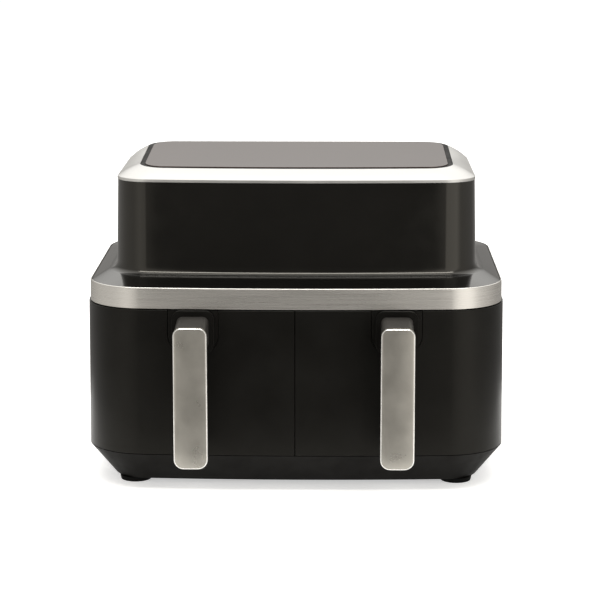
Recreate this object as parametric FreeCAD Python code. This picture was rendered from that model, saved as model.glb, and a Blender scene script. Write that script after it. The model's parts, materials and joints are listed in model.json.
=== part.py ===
import FreeCAD, Part
import math
import os

# Two-basket drawer air fryer, in millimetres.
# While modelling, y runs from the middle of the front face to the back, z from the floor up.
# Every piece is moved at export so that the origin is the bottom centre of the whole box.

V = FreeCAD.Vector
os.makedirs("parts", exist_ok=True)

# ---------------------------------------------------------------- overall body
BODY_WIDTH = 400.0
BODY_DEPTH = 300.0
BODY_CORNER = 57.0
BODY_BOW = 2250.0
BODY_DRAFT = 0.0072
WALL = 3.0
FOOT_HEIGHT = 5.0
FOOT_RADIUS = 15.6
FOOT_STUD = 4.0
FOOT_STUD_LENGTH = 6.0
FOOT_STUD_FIT = 0.1
FOOT_SIDE = 45.0
FOOT_INSET = 47.0
EDGE_Z = 35.0
PAN_CHAMFER = 24.5
LOWER_HEIGHT = 140.9

# ---------------------------------------------------------------- steel band and deck
BAND_HEIGHT = 20.1
BAND_SETBACK = 1.3
BAND_WALL = 1.2
BAND_BEVEL = 2.0
BAND_BEVEL_IN = 0.9
DECK_RISE = 5.4
COVE = 9.0
COVE_STEPS = 5
SKIRT_GAP = 0.3
SKIRT_DROP = 17.0

# ---------------------------------------------------------------- tower
TOWER_SIDE = 26.6
TOWER_FRONT = 42.0
TOWER_BACK_GAP = 30.0
TOWER_CORNER = 34.0
TOWER_REAR_CORNER = 58.0
TOWER_BOW = 1750.0
TOWER_DRAFT = 0.0226
TOWER_HEIGHT = 79.4

# ---------------------------------------------------------------- top ring and control panel
BEZEL_PROUD = 0.5
BEZEL_LIP = 3.2
BEZEL_CROWN_EDGE = 0.8
BEZEL_WALL = 2.4
OPENING_SIDE = 21.2
OPENING_SETBACK = 18.0
OPENING_BACK_GAP = 54.0
OPENING_CORNER = 26.0
OPENING_BOW = 2200.0
OPENING_RISE = 12.4
PANEL_PROUD = 1.0
PANEL_SLOPE = 2.7
SEAL_WIDTH = 4.7
SEAL_DEPTH = 5.0
SEAL_LEDGE = 4.0
FIT = 0.15
GLASS = 2.8
GLASS_SINK = 0.2
TRAY_WALL = 2.0
BOARD = 1.6
BOARD_WINDOW_X = 110.0
BOARD_WINDOW_Y = 42.0

# ---------------------------------------------------------------- drawers
SEAM = 0.8
FRONT_GAP = 0.8
WRAP_DEPTH = 62.0
BASKET_BACK_GAP = 64.0
BASKET_LOW = 11.0
BASKET_UNDER_BAND = 18.7
BASKET_WALL = 1.2
BASKET_CORNER = 22.0
BASKET_FOOT_RADIUS = 9.0
RIM = 3.5
RIM_THICK = 2.0
FRAME_FRONT = 27.0
FRAME_WALL = 3.0
FRAME_CLEAR = 2.0
FRAME_SHELL_GAP = 1.0
FRAME_LAP = 12.0
GASKET = 1.2
GASKET_WIDTH = 3.5
GASKET_GAP = 0.3
TRAY_MARGIN = 1.0
OPENING_LOW = 4.0
OPENING_HIGH = 4.0
TAB_WALL = 3.0
PLATE_LIFT = 12.0
PLATE_THICK = 2.0
PLATE_GAP = 3.2
PLATE_SKIRT = 6.0
PLATE_HOLE = 3.0
PLATE_PITCH = 15.0
FINGER_HOLE = 12.0
BUMPER_GAP = 0.8
BUMPER_LENGTH = 16.0
BUMPER_OFF_FLOOR = 0.3

# ---------------------------------------------------------------- handles
HANDLE_REACH = 46.0
GRIP_HALF = 15.8
HANDLE_OUT = 0.9
GRIP_BELOW_EDGE = 0.6
GRIP_UNDER_BAND = 7.9
GRIP_THICK = 6.5
GRIP_RADIUS_TOP = 7.5
GRIP_RADIUS_LOW = 9.0
GRIP_BEVEL = 1.5
BAR_THICK = 6.5
BAR_SIDE = 2.4
STEM_HALF = 14.8
STEM_HEIGHT = 30.0
STEM_DROP = 0.4
STEM_UNDER_BAND = 5.5
STEM_CORNER = 5.0
STEM_ANCHOR = 8.0
COLLAR_SIDE = 5.0
COLLAR_PROUD = 3.0
COLLAR_CORNER = 8.0
TAB_HALF = 23.5
TAB_HEIGHT = 40.0
TAB_CORNER = 15.0
TAB_GAP = 0.5

# ---------------------------------------------------------------- cavities and works
SHEET = 0.8
LINER_CLEAR = 8.0
LINER_BACK_GAP = 10.0
LINER_LOW = 5.0
LINER_OVER_BAND = 10.3
LINER_SIDE = 14.1
CENTRE_HALF = 10.9
RAIL_HEIGHT = 3.0
RAIL_UNDER = 2.5
RAIL_GAP = 0.3
BLANKET = 8.0
CUP_MARGIN = 22.0
CUP_HEIGHT = 26.0
CUP_LEDGE = 5.0
SHAFT = 3.0
SHAFT_FIT = 0.05
SHAFT_PASS = 2.0
WHEEL_CLEAR = 5.0
WHEEL_BLADES = 10
WHEEL_GAP = 4.0
WHEEL_HEIGHT = 14.0
HUB = 8.0
CHASSIS_GAP = 3.0
CHASSIS_EDGE = 2.6
MOTOR_RADIUS = 26.0
MOTOR_HEIGHT = 31.0
MOTOR_FLANGE = 34.0
ROTOR_RADIUS = 15.0
ROTOR_GAP = 1.0
COOLER_RADIUS = 34.0
COOLER_BLADES = 7
COOLER_HEIGHT = 10.0
COOLER_LIFT = 4.0
HEATER_DROP = 12.0
HEATER_TUBE = 3.2
HEATER_MARGIN = 7.0
HEATER_STEP = 16.0
TERMINAL_MARGIN = 8.0
TERMINAL_SPREAD = 7.0
TERMINAL_RISE = 12.0
GUARD_DROP = 21.0
GUARD_WIRE = 1.5
GUARD_MARGIN = 14.0
GUARD_COUNT = 4
GUARD_LEG_TURN = 17.0
PROBE_RADIUS = 2.2
PROBE_DROP = 14.0
CUTOUT_MARGIN = 11.1
CUTOUT_RADIUS = 8.0
CUTOUT_HEIGHT = 10.0
SWITCH_HALF = 4.5
SWITCH_DEPTH = 20.0
SWITCH_HEIGHT = 22.0
SWITCH_RISE = (87.0, 53.0)
PLUNGER_X = 3.5
PLUNGER_RADIUS = 1.8
PLUNGER_FIT = 0.1
PLUNGER_GAP = 0.3
PLUNGER_STROKE = 2.0
PLUNGER_STEP = 0.8

# ---------------------------------------------------------------- back
COVER_SIDE = 82.0
COVER_LOW = 17.0
COVER_HIGH = 12.7
COVER_GAP = 0.4
COVER_THICK = 2.4
GRILLE_SIDE = 83.4
GRILLE_LOW = 15.6
GRILLE_HIGH = 19.8
SLOT_WIDTH = 3.0
SLOT_PITCH = 8.0
GLAND_SIDE = 40.0
GLAND_RISE = 31.0
GLAND_RADIUS = 8.0
GLAND_FLANGE = 11.0
GLAND_BORE = 3.6
GLAND_OUT = 6.0
SCREW_HEAD = 3.6
SCREW_SHANK = 1.8
SCREW_LENGTH = 14.0
SCREW_HEAD_THICK = 2.0

# ---------------------------------------------------------------- sizes that follow
BODY_HALF = BODY_WIDTH / 2
Y_MID = (BODY_DEPTH + GLAND_OUT - HANDLE_REACH) / 2
FOOT_X = BODY_HALF - FOOT_SIDE
BAND_Z = EDGE_Z + LOWER_HEIGHT
BAND_TOP = BAND_Z + BAND_HEIGHT
DECK_Z = BAND_TOP + DECK_RISE
COVE_TOP = DECK_Z + COVE
TOWER_HALF = BODY_HALF - TOWER_SIDE
TOWER_BACK = BODY_DEPTH - TOWER_BACK_GAP
TOWER_TOP = COVE_TOP + TOWER_HEIGHT
TOWER_TOP_IN = TOWER_DRAFT * TOWER_HEIGHT
OPENING_HALF = TOWER_HALF - TOWER_TOP_IN + BEZEL_PROUD - OPENING_SIDE
OPENING_BACK = TOWER_BACK - OPENING_BACK_GAP
LINER_HALF = (BODY_HALF - 2 * WALL - FRAME_SHELL_GAP - LINER_SIDE - CENTRE_HALF) / 2
BASKET_X = CENTRE_HALF + LINER_HALF
HANDLE_X = BASKET_X + HANDLE_OUT
BASKET_HALF = LINER_HALF - LINER_CLEAR
BASKET_BACK = BODY_DEPTH - BASKET_BACK_GAP
BASKET_Z = EDGE_Z + BASKET_LOW
BASKET_TOP = BAND_Z - BASKET_UNDER_BAND
TRAY_BACK = FRAME_FRONT - GASKET_GAP - GASKET
OPEN_HALF = BASKET_HALF + RIM + FRAME_CLEAR
OPEN_Z0 = BASKET_Z - OPENING_LOW
OPEN_Z1 = BASKET_TOP + OPENING_HIGH
TRAY_HALF = OPEN_HALF + TRAY_MARGIN + GASKET_WIDTH + TRAY_MARGIN
LINER_Z = EDGE_Z + LINER_LOW
LINER_TOP = BAND_Z + LINER_OVER_BAND
LINER_FRONT = FRAME_FRONT + FRAME_WALL
LINER_BACK = BASKET_BACK + LINER_BACK_GAP
FAN_Y = (LINER_FRONT + LINER_BACK) / 2
GRIP_Z0 = EDGE_Z - GRIP_BELOW_EDGE
GRIP_Z1 = BAND_Z - GRIP_UNDER_BAND
STEM_Z1 = BAND_Z - STEM_UNDER_BAND
STEM_Z0 = STEM_Z1 - STEM_HEIGHT
CUP_TOP = LINER_TOP + CUP_HEIGHT
CUP_RADIUS = LINER_HALF - CUP_MARGIN
ROOF_HOLE = CUP_RADIUS - CUP_LEDGE
WHEEL_RADIUS = ROOF_HOLE - WHEEL_CLEAR
HEATER_RINGS = (ROOF_HOLE - HEATER_MARGIN - HEATER_STEP, ROOF_HOLE - HEATER_MARGIN)
TERMINAL_REACH = CUP_RADIUS + TERMINAL_MARGIN
GUARD_OUTER = LINER_HALF - GUARD_MARGIN
GUARD_RINGS = [GUARD_OUTER * (ring + 1) / GUARD_COUNT for ring in range(GUARD_COUNT)]
PROBE_X = LINER_HALF - GUARD_MARGIN
CUTOUT_X = CENTRE_HALF + CUTOUT_MARGIN
CHASSIS_Z = CUP_TOP + CHASSIS_GAP
MOTOR_Z = CHASSIS_Z + SHEET
MOTOR_TOP = MOTOR_Z + SHEET + MOTOR_HEIGHT
HEATER_Z = LINER_TOP - HEATER_DROP
GUARD_Z = LINER_TOP - GUARD_DROP
PLATE_Z = BASKET_Z + BASKET_WALL + PLATE_LIFT
SWITCH_Z = [EDGE_Z + rise for rise in SWITCH_RISE]
COVER_HALF = BODY_HALF - COVER_SIDE
COVER_Z0 = EDGE_Z + COVER_LOW
COVER_Z1 = BAND_Z - COVER_HIGH
GRILLE_HALF = TOWER_HALF - GRILLE_SIDE
GRILLE_Z0 = COVE_TOP + GRILLE_LOW
GRILLE_Z1 = TOWER_TOP - GRILLE_HIGH
GLAND_X = GLAND_SIDE - BODY_HALF
GLAND_Z = EDGE_Z + GLAND_RISE

BODY = {"half": BODY_HALF, "front": 0.0, "back": BODY_DEPTH, "corner": BODY_CORNER,
        "rear": BODY_CORNER, "bow": BODY_BOW}
TOWER = {"half": TOWER_HALF, "front": TOWER_FRONT, "back": TOWER_BACK, "corner": TOWER_CORNER,
         "rear": TOWER_REAR_CORNER, "bow": TOWER_BOW}
OPENING = {"half": OPENING_HALF, "front": TOWER_FRONT + TOWER_TOP_IN - BEZEL_PROUD + OPENING_SETBACK,
           "back": OPENING_BACK, "corner": OPENING_CORNER, "rear": OPENING_CORNER, "bow": OPENING_BOW}


# ---------------------------------------------------------------- helpers
def body_inset(z):
    """How far the drafted wall has moved in at height z."""
    return BODY_DRAFT * (z - EDGE_Z)


def outline(form, inset, z):
    """Closed plan line with a bowed front, round corners and a straight back."""
    half = form["half"] - inset
    front = form["front"] + inset
    back = form["back"] - inset
    radius = form["corner"] - inset
    rear = form["rear"] - inset
    bow = form["bow"] - inset
    arc_y = front + bow
    cx = half - radius
    cy = arc_y - math.sqrt((bow - radius) ** 2 - cx ** 2)
    grow = bow / (bow - radius)
    tx = cx * grow
    ty = arc_y + (cy - arc_y) * grow
    turn = math.atan2(ty - cy, tx - cx) / 2
    mx = cx + radius * math.cos(turn)
    my = cy + radius * math.sin(turn)
    rx = half - rear
    ry = back - rear
    bit = rear * math.sqrt(0.5)
    right = [V(tx, ty, z), V(mx, my, z), V(half, cy, z), V(half, ry, z),
             V(rx + bit, ry + bit, z), V(rx, back, z)]
    left = [V(-p.x, p.y, p.z) for p in right]
    edges = [
        Part.Arc(left[0], V(0, front, z), right[0]).toShape(),
        Part.Arc(right[0], right[1], right[2]).toShape(),
        Part.makeLine(right[2], right[3]),
        Part.Arc(right[3], right[4], right[5]).toShape(),
        Part.makeLine(right[5], left[5]),
        Part.Arc(left[5], left[4], left[3]).toShape(),
        Part.makeLine(left[3], left[2]),
        Part.Arc(left[2], left[1], left[0]).toShape(),
    ]
    return Part.Wire(edges)


def loft(sections):
    """Solid with straight flanks through a stack of outlines."""
    return Part.makeLoft([outline(*s) for s in sections], True, True)


def body_block(z0, z1, inset):
    """The drafted lower body between two heights, moved in by inset."""
    return loft([(BODY, body_inset(z0) + inset, z0), (BODY, body_inset(z1) + inset, z1)])


def box(x0, x1, y0, y1, z0, z1):
    return Part.makeBox(x1 - x0, y1 - y0, z1 - z0, V(x0, y0, z0))


def rod(radius, x, y, z0, z1):
    return Part.makeCylinder(radius, z1 - z0, V(x, y, z0))


def rounded(a0, a1, b0, b1, low, high, place):
    """Rounded rectangle in two directions a and b, put in space by place(a, b)."""
    cut = 1 - math.sqrt(0.5)
    edges = [
        Part.makeLine(place(a0 + low, b0), place(a1 - low, b0)),
        Part.Arc(place(a1 - low, b0), place(a1 - low * cut, b0 + low * cut),
                 place(a1, b0 + low)).toShape(),
        Part.makeLine(place(a1, b0 + low), place(a1, b1 - high)),
        Part.Arc(place(a1, b1 - high), place(a1 - high * cut, b1 - high * cut),
                 place(a1 - high, b1)).toShape(),
        Part.makeLine(place(a1 - high, b1), place(a0 + high, b1)),
        Part.Arc(place(a0 + high, b1), place(a0 + high * cut, b1 - high * cut),
                 place(a0, b1 - high)).toShape(),
        Part.makeLine(place(a0, b1 - high), place(a0, b0 + low)),
        Part.Arc(place(a0, b0 + low), place(a0 + low * cut, b0 + low * cut),
                 place(a0 + low, b0)).toShape(),
    ]
    return Part.Face(Part.Wire(edges))


def pad(x0, x1, y0, y1, radius, z0, z1):
    """Upright block with rounded vertical edges."""
    face = rounded(x0, x1, y0, y1, radius, radius, lambda a, b: V(a, b, z0))
    return face.extrude(V(0, 0, z1 - z0))


def plaque(x0, x1, z0, z1, low, high, y0, y1):
    """Block seen from the front as a rounded rectangle."""
    face = rounded(x0, x1, z0, z1, low, high, lambda a, b: V(a, y0, b))
    return face.extrude(V(0, y1 - y0, 0))


def ring_of(outer, inner):
    return outer.cut(inner)


def joined(shapes):
    whole = shapes[0]
    if len(shapes) > 1:
        whole = whole.fuse(shapes[1:]).removeSplitter()
    return whole


def tilted(shape):
    """Put a piece drawn on the panel's own flat plane into the tilted top."""
    copy = shape.copy()
    front = OPENING["front"]
    copy.rotate(V(0, front, 0), V(1, 0, 0), PANEL_SLOPE)
    copy.translate(V(0, 0, TOWER_TOP + OPENING_RISE))
    return copy


def prism(form, inset, z0, z1):
    return Part.Face(outline(form, inset, z0)).extrude(V(0, 0, z1 - z0))


def mirrored(shape):
    return shape.mirror(V(0, 0, 0), V(1, 0, 0))


def export(name, shape):
    moved = shape.copy()
    moved.translate(V(0, -Y_MID, 0))
    moved.exportStep("parts/" + name + ".step")
    print(name, len(moved.Solids), round(moved.Volume), moved.isValid())


def export_pair(name, shape):
    """Write the right-hand piece and its mirror image for the left."""
    export(name + "_right", shape)
    export(name + "_left", mirrored(shape))


def both(shape):
    """One node that holds the right-hand piece and its mirror image."""
    return Part.makeCompound([shape, mirrored(shape)])


def slots(x0, x1, y0, y1, z0, z1):
    """A row of upright slots, centred across x0 to x1."""
    count = int((x1 - x0) / SLOT_PITCH)
    start = (x0 + x1 - (count - 1) * SLOT_PITCH) / 2
    cuts = []
    for index in range(count):
        middle = start + index * SLOT_PITCH
        cuts.append(plaque(middle - SLOT_WIDTH / 2, middle + SLOT_WIDTH / 2, z0, z1,
                           SLOT_WIDTH * 0.45, SLOT_WIDTH * 0.45, y0, y1))
    return Part.makeCompound(cuts)


# ---------------------------------------------------------------- feet, pan and lower housing
foot_spots = []
for foot_y in (FOOT_INSET, BODY_DEPTH - FOOT_INSET):
    for foot_x in (-FOOT_X, FOOT_X):
        foot_spots.append((foot_x, foot_y))

feet = []
foot_holes = []
for foot_x, foot_y in foot_spots:
    pad_part = Part.makeCone(FOOT_RADIUS - 1, FOOT_RADIUS, FOOT_HEIGHT, V(foot_x, foot_y, 0))
    stud = rod(FOOT_STUD, foot_x, foot_y, FOOT_HEIGHT, FOOT_HEIGHT + FOOT_STUD_LENGTH)
    feet.append(joined([pad_part, stud]))
    foot_holes.append(rod(FOOT_STUD + FOOT_STUD_FIT, foot_x, foot_y, FOOT_HEIGHT - 1, FOOT_HEIGHT + WALL + 1))
export("rubber_feet", Part.makeCompound(feet))

pan_outer = loft([(BODY, PAN_CHAMFER, FOOT_HEIGHT), (BODY, 0.0, EDGE_Z)])
pan_inner = loft([(BODY, PAN_CHAMFER + WALL, FOOT_HEIGHT + WALL), (BODY, WALL * 1.2, EDGE_Z + 0.01)])
screw_spots = []
for screw_y in (BODY_DEPTH * 0.2, BODY_DEPTH * 0.5, BODY_DEPTH * 0.8):
    for screw_x in (-BODY_HALF * 0.55, BODY_HALF * 0.55):
        screw_spots.append((screw_x, screw_y))
screws = []
screw_holes = []
for screw_x, screw_y in screw_spots:
    head = rod(SCREW_HEAD, screw_x, screw_y, FOOT_HEIGHT + 0.5, FOOT_HEIGHT + 0.5 + SCREW_HEAD_THICK)
    shank = rod(SCREW_SHANK, screw_x, screw_y, FOOT_HEIGHT + 1, FOOT_HEIGHT + 1 + SCREW_LENGTH)
    screws.append(joined([head, shank]))
    screw_holes.append(rod(SCREW_HEAD, screw_x, screw_y, FOOT_HEIGHT - 1,
                           FOOT_HEIGHT + 0.5 + SCREW_HEAD_THICK))
    screw_holes.append(rod(SCREW_SHANK, screw_x, screw_y, FOOT_HEIGHT, FOOT_HEIGHT + WALL + 1))
base_pan = pan_outer.cut(pan_inner).cut(Part.makeCompound(foot_holes + screw_holes))
export("base_pan", base_pan)
export("housing_screws", Part.makeCompound(screws))

side_shell = ring_of(body_block(EDGE_Z, BAND_Z, 0.0), body_block(EDGE_Z - 1, BAND_Z + 1, WALL))
front_zone = box(-BODY_WIDTH, BODY_WIDTH, -BODY_DEPTH, WRAP_DEPTH, 0, TOWER_TOP)
cover_hole = plaque(-COVER_HALF, COVER_HALF, COVER_Z0, COVER_Z1, 8, 8, BODY_DEPTH - 20, BODY_DEPTH + 5)
gland_hole = Part.makeCylinder(GLAND_RADIUS, 30, V(GLAND_X, BODY_DEPTH - 20, GLAND_Z), V(0, 1, 0))
lower_housing = side_shell.cut(front_zone).cut(cover_hole)
gland_seat = Part.makeCylinder(GLAND_FLANGE + 4, 20, V(GLAND_X, BODY_DEPTH - 14, GLAND_Z), V(0, 1, 0))
gland_boss = gland_seat.common(body_block(EDGE_Z, BAND_Z, 0.0))
gland_boss = gland_boss.cut(box(-BODY_WIDTH, BODY_WIDTH, 0, BODY_DEPTH - 10, 0, TOWER_TOP))
lower_housing = lower_housing.fuse(gland_boss).cut(gland_hole)
flat_back = BODY_DEPTH - body_inset(GLAND_Z)
export("lower_housing", lower_housing)

cover_back = BODY_DEPTH - body_inset(COVER_Z1)
rear_cover = plaque(-COVER_HALF + COVER_GAP, COVER_HALF - COVER_GAP, COVER_Z0 + COVER_GAP,
                    COVER_Z1 - COVER_GAP, 7.6, 7.6, cover_back - COVER_THICK, cover_back)
cover_slots = slots(-COVER_HALF * 0.7, COVER_HALF * 0.7, BODY_DEPTH - 20, BODY_DEPTH + 5,
                    (COVER_Z0 + COVER_Z1) / 2 - 28, (COVER_Z0 + COVER_Z1) / 2 + 28)
rear_cover = rear_cover.cut(cover_slots)
export("rear_cover", rear_cover)

gland_body = Part.makeCylinder(GLAND_RADIUS, GLAND_OUT + 12, V(GLAND_X, BODY_DEPTH - 12, GLAND_Z), V(0, 1, 0))
gland_collar = Part.makeCylinder(GLAND_FLANGE, 3, V(GLAND_X, BODY_DEPTH, GLAND_Z), V(0, 1, 0))
gland_bore = Part.makeCylinder(GLAND_BORE, 60, V(GLAND_X, BODY_DEPTH - 40, GLAND_Z), V(0, 1, 0))
cord_gland = joined([gland_body, gland_collar]).cut(gland_bore)
export("cord_gland", cord_gland)

# ---------------------------------------------------------------- front frame between body and drawers
frame_outside = body_block(EDGE_Z, BAND_Z, WALL + FRAME_SHELL_GAP)
frame_inside = body_block(EDGE_Z - 1, BAND_Z + 1, WALL + FRAME_SHELL_GAP + WALL)
frame_return = ring_of(frame_outside, frame_inside)
frame_return = frame_return.common(box(-BODY_WIDTH, BODY_WIDTH, FRAME_FRONT, WRAP_DEPTH, 0, TOWER_TOP))
lap_outside = body_block(EDGE_Z, BAND_Z, WALL)
frame_lap = ring_of(lap_outside, frame_inside)
frame_lap = frame_lap.common(box(-BODY_WIDTH, BODY_WIDTH, WRAP_DEPTH, WRAP_DEPTH + FRAME_LAP, 0, TOWER_TOP))
frame_plate = frame_outside.common(box(-BODY_WIDTH, BODY_WIDTH, FRAME_FRONT, LINER_FRONT, 0, TOWER_TOP))
frame = joined([frame_plate, frame_return, frame_lap])
frame_open = plaque(BASKET_X - OPEN_HALF, BASKET_X + OPEN_HALF, OPEN_Z0, OPEN_Z1, 10, 10,
                    FRAME_FRONT - 5, LINER_FRONT + 5)
frame = frame.cut(frame_open).cut(mirrored(frame_open))
plunger_holes = []
for side, switch_z in ((1, SWITCH_Z[0]), (-1, SWITCH_Z[1])):
    plunger_holes.append(Part.makeCylinder(PLUNGER_RADIUS + PLUNGER_FIT, FRAME_WALL + 4,
                                           V(side * PLUNGER_X, FRAME_FRONT - 2, switch_z), V(0, 1, 0)))
frame = frame.cut(Part.makeCompound(plunger_holes))
export("front_frame", frame)

# ---------------------------------------------------------------- cavities
def liner_side():
    """Five sheets, spot-welded into a box that is open at the front."""
    x0 = BASKET_X - LINER_HALF
    x1 = BASKET_X + LINER_HALF
    roof = box(x0, x1, LINER_FRONT, LINER_BACK, LINER_TOP - SHEET, LINER_TOP)
    floor = box(x0, x1, LINER_FRONT, LINER_BACK, LINER_Z, LINER_Z + SHEET)
    walls = [box(x0, x0 + SHEET, LINER_FRONT, LINER_BACK, LINER_Z + SHEET, LINER_TOP - SHEET),
             box(x1 - SHEET, x1, LINER_FRONT, LINER_BACK, LINER_Z + SHEET, LINER_TOP - SHEET),
             box(x0 + SHEET, x1 - SHEET, LINER_BACK - SHEET, LINER_BACK, LINER_Z + SHEET,
                 LINER_TOP - SHEET)]
    holes = [rod(ROOF_HOLE, BASKET_X, FAN_Y, LINER_TOP - 5, LINER_TOP + 5)]
    for spread in (-TERMINAL_SPREAD, TERMINAL_SPREAD):
        holes.append(rod(HEATER_TUBE + 0.4, BASKET_X + spread, FAN_Y + TERMINAL_REACH,
                         LINER_TOP - 5, LINER_TOP + 5))
    holes.append(rod(PROBE_RADIUS + 0.4, BASKET_X + PROBE_X, FAN_Y, LINER_TOP - 5, LINER_TOP + 5))
    return Part.makeCompound([roof.cut(Part.makeCompound(holes)), floor] + walls)


export_pair("cavity_liner", liner_side())

rail_z1 = BASKET_TOP - RIM_THICK - RAIL_GAP
rails = []
for side in (-1, 1):
    inner = BASKET_HALF + RIM - RAIL_UNDER
    outer = LINER_HALF - SHEET
    xs = sorted((BASKET_X + side * inner, BASKET_X + side * outer))
    rails.append(box(xs[0], xs[1], LINER_FRONT, BASKET_BACK, rail_z1 - RAIL_HEIGHT, rail_z1))
rails_right = Part.makeCompound(rails)
export("basket_rails", both(rails_right))

divider = box(-SHEET / 2, SHEET / 2, LINER_FRONT + SWITCH_DEPTH + 4, LINER_BACK, LINER_Z, LINER_TOP)
divider_foot = box(-(BASKET_X - LINER_HALF), BASKET_X - LINER_HALF, LINER_FRONT + SWITCH_DEPTH + 4,
                   LINER_BACK, LINER_Z - SHEET, LINER_Z)
export("centre_divider", joined([divider, divider_foot]))

blanket_x = BASKET_X + LINER_HALF
blanket_side = box(blanket_x, blanket_x + BLANKET, WRAP_DEPTH + FRAME_LAP + 2, LINER_BACK,
                   LINER_Z, LINER_TOP - 6)
blanket_back = box(BASKET_X - LINER_HALF, blanket_x - 10, LINER_BACK, LINER_BACK + BLANKET,
                   LINER_Z, LINER_TOP - 6)
export("insulation_blankets", Part.makeCompound([blanket_side, mirrored(blanket_side),
                                                 blanket_back, mirrored(blanket_back)]))

cup = rod(CUP_RADIUS, BASKET_X, FAN_Y, LINER_TOP, CUP_TOP)
cup = cup.cut(rod(CUP_RADIUS - SHEET, BASKET_X, FAN_Y, LINER_TOP - 1, CUP_TOP - SHEET))
cup = cup.cut(rod(SHAFT + SHAFT_PASS, BASKET_X, FAN_Y, LINER_TOP, CUP_TOP + 1))
export_pair("fan_housing", cup)


def wire_ring(radius, wire, z):
    return Part.makeTorus(radius, wire, V(BASKET_X, FAN_Y, z))


def spoke(r0, r1, angle, radius, z):
    away = V(math.cos(math.radians(angle)), math.sin(math.radians(angle)), 0)
    start = V(BASKET_X, FAN_Y, z) + away * r0
    return Part.makeCylinder(radius, r1 - r0, start, away)


heater_bits = [wire_ring(radius, HEATER_TUBE, HEATER_Z) for radius in HEATER_RINGS]
heater_bits.append(spoke(HEATER_RINGS[0], HEATER_RINGS[1], 20, HEATER_TUBE * 0.9, HEATER_Z))
heater_bits.append(spoke(HEATER_RINGS[0], HEATER_RINGS[1], 160, HEATER_TUBE * 0.9, HEATER_Z))
for spread in (-TERMINAL_SPREAD, TERMINAL_SPREAD):
    reach = TERMINAL_REACH - math.sqrt(HEATER_RINGS[1] ** 2 - spread ** 2)
    start = V(BASKET_X + spread, FAN_Y + TERMINAL_REACH - reach, HEATER_Z)
    heater_bits.append(Part.makeCylinder(HEATER_TUBE, reach, start, V(0, 1, 0)))
    heater_bits.append(Part.makeSphere(HEATER_TUBE, V(BASKET_X + spread, FAN_Y + TERMINAL_REACH, HEATER_Z)))
    heater_bits.append(rod(HEATER_TUBE, BASKET_X + spread, FAN_Y + TERMINAL_REACH, HEATER_Z,
                           LINER_TOP + TERMINAL_RISE))
export_pair("heater_element", joined(heater_bits))

guard_bits = [wire_ring(radius, GUARD_WIRE, GUARD_Z) for radius in GUARD_RINGS]
for index in range(4):
    angle = 45 + 90 * index
    leg_angle = math.radians(angle + GUARD_LEG_TURN)
    guard_bits.append(spoke(GUARD_RINGS[0], GUARD_RINGS[-1], angle, GUARD_WIRE * 0.9, GUARD_Z))
    leg_x = BASKET_X + GUARD_RINGS[-1] * math.cos(leg_angle)
    leg_y = FAN_Y + GUARD_RINGS[-1] * math.sin(leg_angle)
    guard_bits.append(rod(GUARD_WIRE * 0.8, leg_x, leg_y, GUARD_Z, LINER_TOP - SHEET))
export_pair("heater_guard", joined(guard_bits))

probe = joined([rod(PROBE_RADIUS, BASKET_X + PROBE_X, FAN_Y, LINER_TOP - PROBE_DROP, LINER_TOP + 1),
                rod(PROBE_RADIUS * 2, BASKET_X + PROBE_X, FAN_Y, LINER_TOP, LINER_TOP + 7)])
export("temperature_probes", both(probe))

cutout = joined([rod(CUTOUT_RADIUS, CUTOUT_X, FAN_Y, LINER_TOP, LINER_TOP + CUTOUT_HEIGHT),
                 box(CUTOUT_X - 1, CUTOUT_X + 1, FAN_Y - 5, FAN_Y - 1, LINER_TOP + CUTOUT_HEIGHT - 1,
                     LINER_TOP + CUTOUT_HEIGHT + 6),
                 box(CUTOUT_X - 1, CUTOUT_X + 1, FAN_Y + 1, FAN_Y + 5, LINER_TOP + CUTOUT_HEIGHT - 1,
                     LINER_TOP + CUTOUT_HEIGHT + 6)])
export("thermal_cutouts", both(cutout))

# ---------------------------------------------------------------- chassis, motors and fans
chassis = prism(TOWER, WALL + TOWER_DRAFT * (CHASSIS_Z - COVE_TOP) + CHASSIS_EDGE, CHASSIS_Z, CHASSIS_Z + SHEET)
chassis = chassis.cut(both(rod(SHAFT + SHAFT_PASS, BASKET_X, FAN_Y, CHASSIS_Z - 1, CHASSIS_Z + 2)))
posts = []
for post_x in (CUTOUT_X, BASKET_X + PROBE_X):
    for post_y in (FAN_Y - 50, FAN_Y + 50):
        posts.append(rod(4, post_x, post_y, LINER_TOP, CHASSIS_Z))
        posts.append(rod(4, -post_x, post_y, LINER_TOP, CHASSIS_Z))
export("chassis_plate", joined([chassis] + posts))

motor = joined([rod(MOTOR_FLANGE, BASKET_X, FAN_Y, MOTOR_Z, MOTOR_Z + SHEET),
                rod(MOTOR_RADIUS, BASKET_X, FAN_Y, MOTOR_Z, MOTOR_TOP)])
motor = motor.cut(rod(ROTOR_RADIUS + ROTOR_GAP, BASKET_X, FAN_Y, MOTOR_Z + 5, MOTOR_TOP - 4))
motor = motor.cut(rod(SHAFT + SHAFT_FIT, BASKET_X, FAN_Y, MOTOR_Z - 1, MOTOR_TOP + 1))
export_pair("fan_motor", motor)


def blades(count, r0, r1, thick, z0, z1, twist):
    """Flat blades round a hub, each turned a little about its own upright."""
    out = []
    for index in range(count):
        blade = box(r0, r1, -thick / 2, thick / 2, z0, z1)
        blade.rotate(V(r0, 0, 0), V(0, 0, 1), twist)
        blade.rotate(V(0, 0, 0), V(0, 0, 1), 360.0 * index / count)
        blade.translate(V(BASKET_X, FAN_Y, 0))
        out.append(blade)
    return out


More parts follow.
